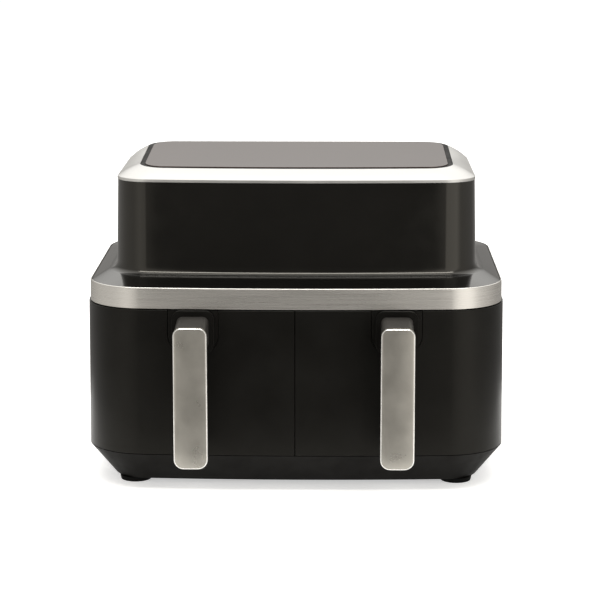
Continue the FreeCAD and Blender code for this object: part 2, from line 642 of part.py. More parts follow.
wheel_top = CUP_TOP - SHEET - WHEEL_GAP
wheel_z = wheel_top - WHEEL_HEIGHT
wheel = [rod(WHEEL_RADIUS - 4, BASKET_X, FAN_Y, wheel_top - 1.2, wheel_top),
         rod(HUB, BASKET_X, FAN_Y, wheel_z, wheel_top)]
wheel += blades(WHEEL_BLADES, HUB - 2, WHEEL_RADIUS - 6, 1.2, wheel_z, wheel_top - 0.6, 25)
cooler_z = MOTOR_TOP + COOLER_LIFT
shaft = rod(SHAFT, BASKET_X, FAN_Y, wheel_z - 3, cooler_z + COOLER_HEIGHT + 2)
rotor = rod(ROTOR_RADIUS, BASKET_X, FAN_Y, MOTOR_Z + 6, MOTOR_TOP - 5)
export_pair("convection_fan", joined(wheel + [shaft, rotor]))

cooler = [rod(HUB, BASKET_X, FAN_Y, cooler_z, cooler_z + COOLER_HEIGHT)]
for blade in blades(COOLER_BLADES, HUB - 2, COOLER_RADIUS, 14, cooler_z + 4, cooler_z + 5.4, 0):
    cooler.append(blade)
cooler = joined(cooler).cut(rod(SHAFT, BASKET_X, FAN_Y, cooler_z - 1, cooler_z + COOLER_HEIGHT + 1))
export_pair("cooling_fan", cooler)

power = [box(-48, 48, TOWER_BACK - 60, TOWER_BACK - 60 + BOARD, CHASSIS_Z + SHEET, CHASSIS_Z + 62),
         box(-40, -12, TOWER_BACK - 82, TOWER_BACK - 60, CHASSIS_Z + 10, CHASSIS_Z + 38),
         box(-4, 12, TOWER_BACK - 76, TOWER_BACK - 60, CHASSIS_Z + 12, CHASSIS_Z + 32),
         box(20, 36, TOWER_BACK - 76, TOWER_BACK - 60, CHASSIS_Z + 12, CHASSIS_Z + 32)]
for cap_x in (-2, 12, 26):
    power.append(Part.makeCylinder(5, 16, V(cap_x, TOWER_BACK - 60, CHASSIS_Z + 48), V(0, -1, 0)))
export("power_board", joined(power))

# ---------------------------------------------------------------- drawer switches
for side, switch_z, name in ((1, SWITCH_Z[0], "right"), (-1, SWITCH_Z[1], "left")):
    x = side * PLUNGER_X
    tip = TRAY_BACK - TAB_WALL + PLUNGER_GAP
    rear = LINER_FRONT + 6
    pin = Part.makeCylinder(PLUNGER_RADIUS, rear - tip, V(x, tip, switch_z), V(0, 1, 0))
    export("switch_plunger_" + name, pin)

switch_bodies = []
for side, switch_z in ((1, SWITCH_Z[0]), (-1, SWITCH_Z[1])):
    case = box(-SWITCH_HALF - PLUNGER_X + 1, SWITCH_HALF + PLUNGER_X - 1, LINER_FRONT,
               LINER_FRONT + SWITCH_DEPTH, switch_z - SWITCH_HEIGHT / 2, switch_z + SWITCH_HEIGHT / 2)
    bore = Part.makeCylinder(PLUNGER_RADIUS + PLUNGER_FIT, 6 + PLUNGER_STROKE + PLUNGER_STEP + 1,
                             V(side * PLUNGER_X, LINER_FRONT - 1, switch_z), V(0, 1, 0))
    switch_bodies.append(case.cut(bore))
export("drawer_switches", Part.makeCompound(switch_bodies))

# ---------------------------------------------------------------- steel band
band_in = body_inset(BAND_Z) + BAND_SETBACK
band_mid = BAND_TOP - BAND_BEVEL
band_slope = body_inset(BAND_TOP) - body_inset(BAND_Z)
band_outer = loft([(BODY, band_in, BAND_Z), (BODY, band_in + band_slope, band_mid),
                   (BODY, band_in + band_slope + BAND_BEVEL_IN, BAND_TOP)])
band_inner = loft([(BODY, band_in + BAND_WALL, BAND_Z - 1),
                   (BODY, band_in + band_slope + BAND_WALL, BAND_TOP + 1)])
export("trim_band", band_outer.cut(band_inner))

# ---------------------------------------------------------------- upper housing: skirt, deck, cove, tower
skirt_in = band_in + band_slope + BAND_WALL + SKIRT_GAP


def housing_sections(thick):
    """Outlines of the deck and tower, moved in and down by a wall thickness."""
    stack = [(BODY, skirt_in + thick, BAND_TOP - SKIRT_DROP - (1 if thick else 0)),
             (BODY, skirt_in + thick, BAND_TOP - thick),
             (TOWER, thick - COVE, DECK_Z - thick)]
    for step in range(1, COVE_STEPS + 1):
        angle = math.pi / 2 * step / COVE_STEPS
        stack.append((TOWER, thick - COVE * (1 - math.sin(angle)),
                      DECK_Z + COVE * (1 - math.cos(angle)) - thick * math.cos(angle)))
    stack.append((TOWER, thick + TOWER_TOP_IN, TOWER_TOP + (1 if thick else 0)))
    return stack


upper_housing = loft(housing_sections(0.0)).cut(loft(housing_sections(WALL)))
grille_hole = plaque(-GRILLE_HALF, GRILLE_HALF, GRILLE_Z0, GRILLE_Z1, 6, 6, TOWER_BACK - 12, TOWER_BACK + 8)
upper_housing = upper_housing.cut(grille_hole)
export("upper_housing", upper_housing)

grille_back = TOWER_BACK - TOWER_DRAFT * (GRILLE_Z1 - COVE_TOP)
grille = plaque(-GRILLE_HALF + COVER_GAP, GRILLE_HALF - COVER_GAP, GRILLE_Z0 + COVER_GAP,
                GRILLE_Z1 - COVER_GAP, 5.6, 5.6, grille_back - COVER_THICK, grille_back)
grille = grille.cut(slots(-GRILLE_HALF + 8, GRILLE_HALF - 8, TOWER_BACK - 20, TOWER_BACK + 8,
                          GRILLE_Z0 + 7, GRILLE_Z1 - 7))
export("exhaust_grille", grille)

# ---------------------------------------------------------------- top ring
def tilted_wire(form, inset, drop):
    wire = outline(form, inset, 0.0)
    wire.rotate(V(0, OPENING["front"], 0), V(1, 0, 0), PANEL_SLOPE)
    wire.translate(V(0, 0, TOWER_TOP + OPENING_RISE - drop))
    return wire


def crown(inset, drop, low):
    lip_in = TOWER_TOP_IN - BEZEL_PROUD + inset
    wires = [outline(TOWER, lip_in, TOWER_TOP - low),
             outline(TOWER, lip_in, TOWER_TOP + BEZEL_LIP - drop),
             outline(TOWER, lip_in + BEZEL_CROWN_EDGE, TOWER_TOP + BEZEL_LIP + BEZEL_CROWN_EDGE - drop),
             tilted_wire(OPENING, 0.0, drop + PANEL_PROUD)]
    return Part.makeLoft(wires, True, True)


through = tilted(prism(OPENING, 0.0, -40, 10))
top_bezel = crown(0.0, 0.0, 0.0).cut(crown(BEZEL_WALL, BEZEL_WALL, 1.0)).cut(through)
export("top_bezel", top_bezel)

seal = prism(OPENING, FIT, -SEAL_DEPTH, -GLASS_SINK - PANEL_PROUD)
seal = seal.cut(prism(OPENING, SEAL_WIDTH, -GLASS - GLASS_SINK, 5))
seal = seal.cut(prism(OPENING, SEAL_WIDTH + SEAL_LEDGE, -SEAL_DEPTH - 1, 5))
export("panel_seal", tilted(seal))
export("control_panel", tilted(prism(OPENING, SEAL_WIDTH + FIT, -GLASS - GLASS_SINK, -GLASS_SINK)))

panel_mid = (OPENING["front"] + OPENING_BACK) / 2
window = pad(-BOARD_WINDOW_X, BOARD_WINDOW_X, panel_mid - BOARD_WINDOW_Y, panel_mid + BOARD_WINDOW_Y, 5, -60, 5)
tray_top = -SEAL_DEPTH
board_tray = prism(OPENING, SEAL_WIDTH / 2, tray_top - TRAY_WALL, tray_top).cut(window)
export("board_tray", tilted(board_tray))
board_top = tray_top - TRAY_WALL
board_bits = [pad(-BOARD_WINDOW_X - 8, BOARD_WINDOW_X + 8, panel_mid - BOARD_WINDOW_Y - 8,
                  panel_mid + BOARD_WINDOW_Y + 8, 4, board_top - BOARD, board_top)]
for chip_x in (-70, 0, 70):
    board_bits.append(box(chip_x - 22, chip_x + 22, panel_mid - 12, panel_mid + 12, board_top - 0.2,
                          -GLASS - GLASS_SINK - 0.5))
board_bits.append(box(-20, 20, panel_mid - 40, panel_mid - 20, board_top - BOARD - 5, board_top - BOARD + 0.2))
board_bits.append(box(50, 74, panel_mid + 20, panel_mid + 36, board_top - BOARD - 7, board_top - BOARD + 0.2))
export("control_board", tilted(joined(board_bits)))

# ---------------------------------------------------------------- drawer, right-hand one drawn
shell_z0 = EDGE_Z + FRONT_GAP / 2
shell_z1 = BAND_Z - FRONT_GAP
front_skin = ring_of(body_block(shell_z0, shell_z1, 0.0), body_block(shell_z0 - 1, shell_z1 + 1, WALL))
front_skin = front_skin.common(box(SEAM / 2, BODY_WIDTH, -BODY_DEPTH, WRAP_DEPTH - FRONT_GAP, 0, TOWER_TOP))


def tab_prism(grow, z1):
    return plaque(HANDLE_X - TAB_HALF - grow, HANDLE_X + TAB_HALF + grow, BAND_Z - TAB_HEIGHT - grow, z1,
                  TAB_CORNER + grow, 1.0, -20, TRAY_BACK)


# The stem's top slopes down from the drawer to the back of the grip.
bar_y0 = -HANDLE_REACH + GRIP_THICK
stem_ends = []
for end_y, end_top in ((bar_y0, GRIP_Z1 - STEM_DROP), (STEM_ANCHOR, STEM_Z1)):
    end = rounded(HANDLE_X - STEM_HALF, HANDLE_X + STEM_HALF, STEM_Z0, end_top, STEM_CORNER, STEM_CORNER,
                  lambda a, b: V(a, end_y, b))
    stem_ends.append(end.OuterWire)
stem = Part.makeLoft(stem_ends, True, True)
escutcheon = front_skin.common(tab_prism(0.0, TOWER_TOP)).cut(stem)
drawer_front = front_skin.cut(tab_prism(TAB_GAP, TOWER_TOP))
export_pair("drawer_front", drawer_front)
export_pair("handle_escutcheon", escutcheon)

tray_z0 = OPEN_Z0 - TRAY_MARGIN - GASKET_WIDTH - TRAY_MARGIN
tray_z1 = OPEN_Z1 + TRAY_MARGIN + GASKET_WIDTH + TRAY_MARGIN
tray_room = body_block(shell_z0, shell_z1, WALL)
tray = plaque(BASKET_X - TRAY_HALF, BASKET_X + TRAY_HALF, tray_z0, tray_z1, 12, 12, -20, TRAY_BACK)
tray = tray.common(tray_room)
tray = tray.cut(plaque(BASKET_X - TRAY_HALF + 2.5, BASKET_X + TRAY_HALF - 2.5, tray_z0 + 2.5,
                       tray_z1 - 2.5, 9.5, 9.5, -25, TRAY_BACK - 2.5)).cut(stem)
tab_z0 = min(SWITCH_Z) - 12
tab_z1 = max(SWITCH_Z) + 12
switch_tab = box(SEAM / 2 + 0.5, BASKET_X - TRAY_HALF + 1, TRAY_BACK - TAB_WALL - 2.5, TRAY_BACK - TAB_WALL,
                 tab_z0, tab_z1)
switch_tab = switch_tab.cut(tray)
export_pair("drawer_inner", tray)
export_pair("switch_striker", switch_tab)

gasket = plaque(BASKET_X - OPEN_HALF - TRAY_MARGIN - GASKET_WIDTH, BASKET_X + OPEN_HALF + TRAY_MARGIN
                + GASKET_WIDTH, OPEN_Z0 - TRAY_MARGIN - GASKET_WIDTH, OPEN_Z1 + TRAY_MARGIN + GASKET_WIDTH,
                14, 14, TRAY_BACK, TRAY_BACK + GASKET)
gasket = gasket.cut(plaque(BASKET_X - OPEN_HALF - TRAY_MARGIN, BASKET_X + OPEN_HALF + TRAY_MARGIN,
                           OPEN_Z0 - TRAY_MARGIN, OPEN_Z1 + TRAY_MARGIN, 10.5, 10.5,
                           TRAY_BACK - 1, TRAY_BACK + GASKET + 1))
export_pair("drawer_gasket", gasket)

# ---------------------------------------------------------------- basket and crisper plate
def tub(shrink, z0, z1):
    x0 = BASKET_X - BASKET_HALF + shrink
    x1 = BASKET_X + BASKET_HALF - shrink
    block = pad(x0, x1, TRAY_BACK + shrink, BASKET_BACK - shrink, BASKET_CORNER - shrink, z0, z1)
    low = [edge for edge in block.Edges if abs(edge.BoundBox.ZMax - z0) < 0.01]
    return block.makeFillet(BASKET_FOOT_RADIUS - shrink, low)


basket = tub(0.0, BASKET_Z, BASKET_TOP)
rim_plate = pad(BASKET_X - BASKET_HALF - RIM, BASKET_X + BASKET_HALF + RIM, TRAY_BACK, BASKET_BACK + RIM,
                BASKET_CORNER + RIM, BASKET_TOP - RIM_THICK, BASKET_TOP)
basket = joined([basket, rim_plate])
basket = basket.cut(tub(BASKET_WALL, BASKET_Z + BASKET_WALL, BASKET_TOP + 5))
export_pair("basket", basket)

in_half = BASKET_HALF - BASKET_WALL
plate_x0 = BASKET_X - in_half + PLATE_GAP
plate_x1 = BASKET_X + in_half - PLATE_GAP
plate_y0 = TRAY_BACK + BASKET_WALL + PLATE_GAP
plate_y1 = BASKET_BACK - BASKET_WALL - PLATE_GAP
plate_corner = BASKET_CORNER - BASKET_WALL - PLATE_GAP
plate_block = pad(plate_x0, plate_x1, plate_y0, plate_y1, plate_corner, PLATE_Z, PLATE_Z + PLATE_SKIRT)
plate_well = pad(plate_x0 + PLATE_THICK, plate_x1 - PLATE_THICK, plate_y0 + PLATE_THICK,
                 plate_y1 - PLATE_THICK, plate_corner - PLATE_THICK, PLATE_Z + PLATE_THICK,
                 PLATE_Z + PLATE_SKIRT + 5)
plate_y_mid = (plate_y0 + plate_y1) / 2
columns = int((plate_x1 - plate_x0 - 2 * PLATE_PITCH) / PLATE_PITCH / 2)
rows = int((plate_y1 - plate_y0 - 2 * PLATE_PITCH) / PLATE_PITCH / 2)
plate_holes = [rod(FINGER_HOLE, BASKET_X, plate_y_mid, PLATE_Z - 1, PLATE_Z + 10)]
for column in range(-columns, columns + 1):
    for row in range(-rows, rows + 1):
        if math.hypot(column, row) * PLATE_PITCH > FINGER_HOLE + PLATE_PITCH / 2:
            plate_holes.append(rod(PLATE_HOLE, BASKET_X + column * PLATE_PITCH,
                                   plate_y_mid + row * PLATE_PITCH, PLATE_Z - 1, PLATE_Z + 10))
crisper = plate_block.cut(plate_well).cut(Part.makeCompound(plate_holes))

bumpers = []
bumper_low = BASKET_Z + BASKET_WALL + BUMPER_OFF_FLOOR
for side in (-1, 1):
    wall_x = BASKET_X + side * (in_half - BUMPER_GAP)
    edge_x = BASKET_X + side * (in_half - PLATE_GAP - PLATE_THICK - 2)
    xs = sorted((wall_x, edge_x))
    for place_y in (plate_y0 + 36, plate_y1 - 36):
        block = box(xs[0], xs[1], place_y - BUMPER_LENGTH / 2, place_y + BUMPER_LENGTH / 2,
                    bumper_low + BASKET_FOOT_RADIUS, PLATE_Z + PLATE_SKIRT + 1.5)
        leg_x = sorted((edge_x, BASKET_X + side * (in_half - BASKET_FOOT_RADIUS)))
        leg = box(leg_x[0] - 4 * (side > 0), leg_x[1] + 4 * (side < 0), place_y - BUMPER_LENGTH / 2,
                  place_y + BUMPER_LENGTH / 2, bumper_low, PLATE_Z)
        bumpers.append(joined([block, leg]).cut(crisper))
export_pair("crisper_plate", crisper)
export_pair("plate_bumpers", Part.makeCompound(bumpers))

# ---------------------------------------------------------------- handle
bar = plaque(HANDLE_X - GRIP_HALF + BAR_SIDE, HANDLE_X + GRIP_HALF - BAR_SIDE, GRIP_Z0 + BAR_SIDE,
             GRIP_Z1 - STEM_DROP, GRIP_RADIUS_LOW - BAR_SIDE, STEM_CORNER, bar_y0, bar_y0 + BAR_THICK)
collar = plaque(HANDLE_X - STEM_HALF - COLLAR_SIDE, HANDLE_X + STEM_HALF + COLLAR_SIDE,
                STEM_Z0 - COLLAR_SIDE, STEM_Z1 + COLLAR_SIDE, COLLAR_CORNER, COLLAR_CORNER,
                BODY_DRAFT * 120 - COLLAR_PROUD + 1.2, TRAY_BACK - 8)
collar = collar.cut(body_block(shell_z0 - 1, shell_z1 + 1, 0.0))
handle_core = joined([bar, stem, collar])
export_pair("handle_core", handle_core)

grip = plaque(HANDLE_X - GRIP_HALF, HANDLE_X + GRIP_HALF, GRIP_Z0, GRIP_Z1, GRIP_RADIUS_LOW, GRIP_RADIUS_TOP,
              -HANDLE_REACH, bar_y0)
rim_edges = [edge for edge in grip.Edges if abs(edge.BoundBox.YMax + HANDLE_REACH) < 0.01]
grip = grip.makeChamfer(GRIP_BEVEL, rim_edges)
export_pair("handle_grip", grip)
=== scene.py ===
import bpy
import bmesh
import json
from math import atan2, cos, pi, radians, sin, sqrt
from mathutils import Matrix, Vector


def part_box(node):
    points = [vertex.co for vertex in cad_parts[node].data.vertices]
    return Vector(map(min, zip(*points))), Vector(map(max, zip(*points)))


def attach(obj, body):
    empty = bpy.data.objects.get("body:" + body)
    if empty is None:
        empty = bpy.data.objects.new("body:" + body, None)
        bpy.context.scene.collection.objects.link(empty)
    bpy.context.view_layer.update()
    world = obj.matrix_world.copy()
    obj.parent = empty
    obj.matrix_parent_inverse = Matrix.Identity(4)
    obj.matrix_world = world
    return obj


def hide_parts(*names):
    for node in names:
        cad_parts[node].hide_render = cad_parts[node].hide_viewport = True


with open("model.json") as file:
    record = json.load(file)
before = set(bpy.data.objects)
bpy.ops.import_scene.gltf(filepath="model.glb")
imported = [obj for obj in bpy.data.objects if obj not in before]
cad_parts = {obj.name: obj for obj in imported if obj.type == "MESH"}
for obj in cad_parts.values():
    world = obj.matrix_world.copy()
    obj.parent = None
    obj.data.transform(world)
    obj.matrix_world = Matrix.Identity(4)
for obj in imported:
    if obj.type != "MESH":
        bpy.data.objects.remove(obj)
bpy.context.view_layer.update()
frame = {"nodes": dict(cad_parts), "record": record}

# %% [markdown]
# # A two-drawer air fryer, piece by piece
# The engineering model is already loaded above: every part sits in its place, in metres. This lesson
# dresses it. Parts whose shape is already right only get a finish. The parts that the eye rests on,
# such as the handles and the top, are modelled again with soft edges, because a real moulding never
# has a knife edge and it is the edges that catch the light.

nodes = frame["nodes"]

# %% [markdown]
# ## Finishes
# A finish is a small network of nodes. Each one starts from a Principled shader and adds what makes
# the material believable at its own scale: the fine pebble of a moulded black plastic is about half a
# millimetre, a brushed grain is a long thin streak, and a gloss moulding is never perfectly flat.
# The patterns read Object coordinates, so they stay fixed on the part and have a real size in metres.

# %% Small helpers for node networks
NOISE_LOW, NOISE_HIGH = 0.3, 0.7


def new_finish(name, colour, roughness, metallic=0.0, **sockets):
    finish = bpy.data.materials.new(name)
    finish.use_nodes = True
    shader = finish.node_tree.nodes["Principled BSDF"]
    shader.inputs["Base Color"].default_value = (*colour, 1.0)
    shader.inputs["Roughness"].default_value = roughness
    shader.inputs["Metallic"].default_value = metallic
    for socket, value in sockets.items():
        shader.inputs[socket.replace("_", " ")].default_value = value
    return finish


def add_node(finish, kind, **values):
    node = finish.node_tree.nodes.new(kind)
    for name, value in values.items():
        if name in node.inputs:
            node.inputs[name].default_value = value
        else:
            setattr(node, name, value)
    return node


def wire(finish, start, output, end, socket):
    finish.node_tree.links.new(start.outputs[output], end.inputs[socket])


def placed(finish, stretch=(1.0, 1.0, 1.0)):
    """Object coordinates, squeezed by a factor along each axis."""
    place = add_node(finish, "ShaderNodeTexCoord")
    squeeze = add_node(finish, "ShaderNodeMapping")
    squeeze.inputs["Scale"].default_value = stretch
    wire(finish, place, "Object", squeeze, "Vector")
    return squeeze


def noise(finish, scale, detail=2.0, stretch=(1.0, 1.0, 1.0), blur=0.5):
    cloud = add_node(finish, "ShaderNodeTexNoise", Scale=scale, Detail=detail, Roughness=blur)
    wire(finish, placed(finish, stretch), "Vector", cloud, "Vector")
    return cloud


def spread(finish, source, low, high, output="Fac"):
    """Map the usual range of a noise pattern to low..high."""
    ramp = add_node(finish, "ShaderNodeMapRange")
    limits = {"From Min": NOISE_LOW, "From Max": NOISE_HIGH, "To Min": low, "To Max": high}
    for socket, value in limits.items():
        ramp.inputs[socket].default_value = value
    wire(finish, source, output, ramp, "Value")
    return ramp


def rough_by(finish, source, low, high):
    shader = finish.node_tree.nodes["Principled BSDF"]
    wire(finish, spread(finish, source, low, high), "Result", shader, "Roughness")


def tint_by(finish, source, dark, light):
    shader = finish.node_tree.nodes["Principled BSDF"]
    mix = add_node(finish, "ShaderNodeMix", data_type="RGBA")
    colour_a = [s for s in mix.inputs if s.name == "A" and s.type == "RGBA"][0]
    colour_b = [s for s in mix.inputs if s.name == "B" and s.type == "RGBA"][0]
    colour_a.default_value = (*dark, 1.0)
    colour_b.default_value = (*light, 1.0)
    factor = spread(finish, source, 0.0, 1.0)
    finish.node_tree.links.new(factor.outputs["Result"], mix.inputs["Factor"])
    result = [s for s in mix.outputs if s.type == "RGBA"][0]
    finish.node_tree.links.new(result, shader.inputs["Base Color"])


def bump_by(finish, *layers):
    """Stack bumps: each layer is a pattern and its height in metres."""
    shader = finish.node_tree.nodes["Principled BSDF"]
    below = None
    for source, height in layers:
        bump = add_node(finish, "ShaderNodeBump", Strength=1.0, Distance=height)
        wire(finish, source, "Fac", bump, "Height")
        if below is not None:
            wire(finish, below, "Normal", bump, "Normal")
        below = bump
    wire(finish, below, "Normal", shader, "Normal")


# %% Black mouldings
WARM_SHEEN = (1.0, 0.96, 0.86, 1.0)
satin_black = new_finish("satin black moulding", (0.0045, 0.0043, 0.0040), 0.34,
                         Specular_IOR_Level=0.165, Specular_Tint=WARM_SHEEN)
pebble = noise(satin_black, 1500.0, 3.0)
rough_by(satin_black, noise(satin_black, 14.0, 4.0), 0.30, 0.38)
tint_by(satin_black, noise(satin_black, 30.0, 5.0), (0.0036, 0.0034, 0.0031), (0.0056, 0.0054, 0.0050))
bump_by(satin_black, (noise(satin_black, 9.0, 1.0), 0.0006), (pebble, 0.00004))

gloss_black = new_finish("gloss black moulding", (0.0046, 0.0043, 0.0040), 0.09, Specular_Tint=WARM_SHEEN)
rough_by(gloss_black, noise(gloss_black, 40.0, 6.0), 0.07, 0.14)
tint_by(gloss_black, noise(gloss_black, 20.0, 3.0), (0.0040, 0.0038, 0.0035), (0.0054, 0.0051, 0.0047))
bump_by(gloss_black, (noise(gloss_black, 7.0, 1.0), 0.0005), (noise(gloss_black, 900.0, 2.0), 0.000006))

dark_plastic = new_finish("dark structural plastic", (0.0046, 0.0043, 0.0039), 0.5,
                          Specular_IOR_Level=0.08, Specular_Tint=WARM_SHEEN)
rough_by(dark_plastic, noise(dark_plastic, 60.0, 5.0), 0.44, 0.6)
tint_by(dark_plastic, noise(dark_plastic, 25.0, 4.0), (0.0036, 0.0033, 0.0030), (0.0057, 0.0053, 0.0049))
bump_by(dark_plastic, (noise(dark_plastic, 1100.0, 3.0), 0.00006))
print("black mouldings ready")

# %% Metals
steel_band = new_finish("brushed steel band", (0.62, 0.60, 0.565), 0.27, 1.0, Anisotropic=0.6)
streaks = noise(steel_band, 1.0, 6.0, (9.0, 9.0, 2600.0), 0.7)
rough_by(steel_band, streaks, 0.22, 0.34)
tint_by(steel_band, streaks, (0.56, 0.542, 0.508), (0.68, 0.66, 0.625))
bump_by(steel_band, (streaks, 0.00001))

satin_silver = new_finish("satin silver lacquer", (0.57, 0.565, 0.545), 0.36, 0.9)
flake = noise(satin_silver, 3200.0, 2.0)
rough_by(satin_silver, noise(satin_silver, 35.0, 4.0), 0.32, 0.42)
tint_by(satin_silver, flake, (0.53, 0.525, 0.51), (0.61, 0.605, 0.585))
bump_by(satin_silver, (flake, 0.000012))

sheet_steel = new_finish("aluminised sheet steel", (0.52, 0.52, 0.51), 0.38, 1.0)
spangle = add_node(sheet_steel, "ShaderNodeTexVoronoi", Scale=260.0)
wire(sheet_steel, placed(sheet_steel), "Vector", spangle, "Vector")
rough_by(sheet_steel, noise(sheet_steel, 45.0, 5.0), 0.3, 0.5)
tint_by(sheet_steel, noise(sheet_steel, 18.0, 5.0), (0.45, 0.45, 0.44), (0.58, 0.58, 0.57))
bump_by(sheet_steel, (noise(sheet_steel, 500.0, 3.0), 0.00003))

heating_steel = new_finish("heat-darkened heater tube", (0.16, 0.13, 0.115), 0.42, 0.9)
tint_by(heating_steel, noise(heating_steel, 60.0, 5.0), (0.10, 0.085, 0.08), (0.24, 0.19, 0.16))
rough_by(heating_steel, noise(heating_steel, 220.0, 4.0), 0.34, 0.55)
bump_by(heating_steel, (noise(heating_steel, 900.0, 3.0), 0.00003))

zinc_steel = new_finish("zinc-plated steel", (0.55, 0.55, 0.53), 0.32, 1.0)
tint_by(zinc_steel, noise(zinc_steel, 120.0, 5.0), (0.46, 0.46, 0.45), (0.62, 0.61, 0.58))
rough_by(zinc_steel, noise(zinc_steel, 300.0, 4.0), 0.25, 0.42)
bump_by(zinc_steel, (noise(zinc_steel, 1400.0, 2.0), 0.00001))

aluminium = new_finish("stamped aluminium", (0.66, 0.66, 0.67), 0.34, 1.0)
rough_by(aluminium, noise(aluminium, 90.0, 5.0), 0.28, 0.44)
tint_by(aluminium, noise(aluminium, 40.0, 4.0), (0.60, 0.60, 0.61), (0.72, 0.72, 0.73))
bump_by(aluminium, (noise(aluminium, 1200.0, 2.0), 0.00001))
print("metals ready")

# %% Glass, coating, rubber and the rest
panel_glass = new_finish("dark touch glass", (0.034, 0.020, 0.015), 0.07, IOR=1.6,
                         Specular_Tint=(1.0, 0.90, 0.85, 1.0))
rough_by(panel_glass, noise(panel_glass, 55.0, 6.0), 0.05, 0.10)
tint_by(panel_glass, noise(panel_glass, 12.0, 2.0), (0.031, 0.018, 0.013), (0.038, 0.023, 0.018))

coating = new_finish("non-stick coating", (0.022, 0.022, 0.023), 0.42, 0.25)
speck = noise(coating, 700.0, 4.0, (1.0, 1.0, 1.0), 0.7)
tint_by(coating, speck, (0.017, 0.017, 0.018), (0.040, 0.040, 0.042))
rough_by(coating, speck, 0.34, 0.5)
bump_by(coating, (speck, 0.00003))

rubber = new_finish("black rubber", (0.005, 0.005, 0.005), 0.75, Specular_IOR_Level=0.05)
rough_by(rubber, noise(rubber, 200.0, 4.0), 0.62, 0.82)
tint_by(rubber, noise(rubber, 80.0, 4.0), (0.004, 0.004, 0.004), (0.007, 0.0065, 0.006))
bump_by(rubber, (noise(rubber, 1800.0, 3.0), 0.00005))

silicone = new_finish("grey silicone", (0.045, 0.045, 0.047), 0.55, Subsurface_Weight=0.05)
rough_by(silicone, noise(silicone, 150.0, 4.0), 0.48, 0.64)
tint_by(silicone, noise(silicone, 60.0, 4.0), (0.038, 0.038, 0.040), (0.055, 0.055, 0.058))
bump_by(silicone, (noise(silicone, 1200.0, 3.0), 0.00003))

blanket = new_finish("mineral fibre blanket", (0.66, 0.64, 0.58), 0.95)
fibres = noise(blanket, 60.0, 8.0, (1.0, 4.0, 12.0), 0.8)
tint_by(blanket, fibres, (0.50, 0.48, 0.42), (0.74, 0.72, 0.67))
bump_by(blanket, (fibres, 0.0012))

board_green = new_finish("circuit board", (0.012, 0.075, 0.035), 0.35)
tint_by(board_green, noise(board_green, 160.0, 3.0), (0.009, 0.060, 0.028), (0.018, 0.10, 0.05))
rough_by(board_green, noise(board_green, 300.0, 4.0), 0.28, 0.45)
bump_by(board_green, (noise(board_green, 400.0, 2.0), 0.00004))

white_plastic = new_finish("white plastic", (0.72, 0.71, 0.68), 0.4, Subsurface_Weight=0.05)
tint_by(white_plastic, noise(white_plastic, 60.0, 4.0), (0.68, 0.67, 0.63), (0.76, 0.75, 0.72))
rough_by(white_plastic, noise(white_plastic, 120.0, 4.0), 0.34, 0.5)
bump_by(white_plastic, (noise(white_plastic, 900.0, 2.0), 0.00002))

finishes = {
    "satin_black": satin_black, "gloss_black": gloss_black, "dark_plastic": dark_plastic,
    "steel_band": steel_band, "satin_silver": satin_silver, "panel_glass": panel_glass,
    "rubber": rubber, "sheet_steel": sheet_steel, "nonstick_coating": coating,
    "heating_steel": heating_steel, "silicone": silicone, "blanket": blanket, "aluminium": aluminium,
    "board_green": board_green, "zinc_steel": zinc_steel, "white_plastic": white_plastic,
}
for part in frame["record"]["subparts"]:
    mesh = nodes[part["node"]].data
    mesh.materials.clear()
    mesh.materials.append(finishes[part["material_slot"]])

# %% [markdown]
# ## Softening the engineering shapes
# A moulded or pressed part never has a knife edge. The engineering model draws sharp corners, so the
# parts a hand can reach are copied here and their edges rounded. The copy is merged into one skin, the
# needless seams on flat faces are dissolved, and every edge sharper than a limit is bevelled. It is
# quicker than modelling again, and the outline stays exactly the one the fits were worked out for.
# The widths below are upper limits. Clamping keeps a bevel from folding over itself, and it holds back
# the whole part, so the basket, the drawer inner, the rear cover and the grille end up with nearly
# sharp edges, and the base pan, the front frame and the crisper plates with a fraction of the width.

# %% Which body each part belongs to
part_body = {}
for body_name, members in frame["record"]["behaviour"]["bodies"].items():
    for member in members:
        part_body[member] = body_name
part_slot = {part["node"]: part["material_slot"] for part in frame["record"]["subparts"]}
SHARP = radians(30)
modelled = []


# %% Placing a finished piece
def place_piece(bm, name, node_name, finish=None):
    """Turn a bmesh into an object that rides with a part and stands for it."""
    for face in bm.faces:
        face.smooth = True
    for edge in bm.edges:
        edge.smooth = edge.is_manifold and edge.calc_face_angle(0.0) < SHARP
    mesh = bpy.data.meshes.new(name)
    bm.to_mesh(mesh)
    bm.free()
    piece = bpy.data.objects.new(name, mesh)
    bpy.context.scene.collection.objects.link(piece)
    mesh.materials.append(finish or finishes[part_slot[node_name]])
    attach(piece, part_body[node_name])
    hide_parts(node_name)
    modelled.append(piece)
    return piece


# %% A copy with soft edges
MERGE = 0.000002
FLAT = radians(0.2)


def soft_copy(node_name, width, steps=2, finish=None):
    bm = bmesh.new()
    bm.from_mesh(nodes[node_name].data)
    bmesh.ops.remove_doubles(bm, verts=bm.verts, dist=MERGE)
    bmesh.ops.dissolve_limit(bm, angle_limit=FLAT, verts=bm.verts, edges=bm.edges)
    corners = [edge for edge in bm.edges if edge.is_manifold and edge.calc_face_angle(0.0) > SHARP]
    bmesh.ops.bevel(bm, geom=corners, offset=width, offset_type="OFFSET", segments=steps, profile=0.5,
                    affect="EDGES", clamp_overlap=True, material=-1)
    return place_piece(bm, "soft_" + node_name, node_name, finish)


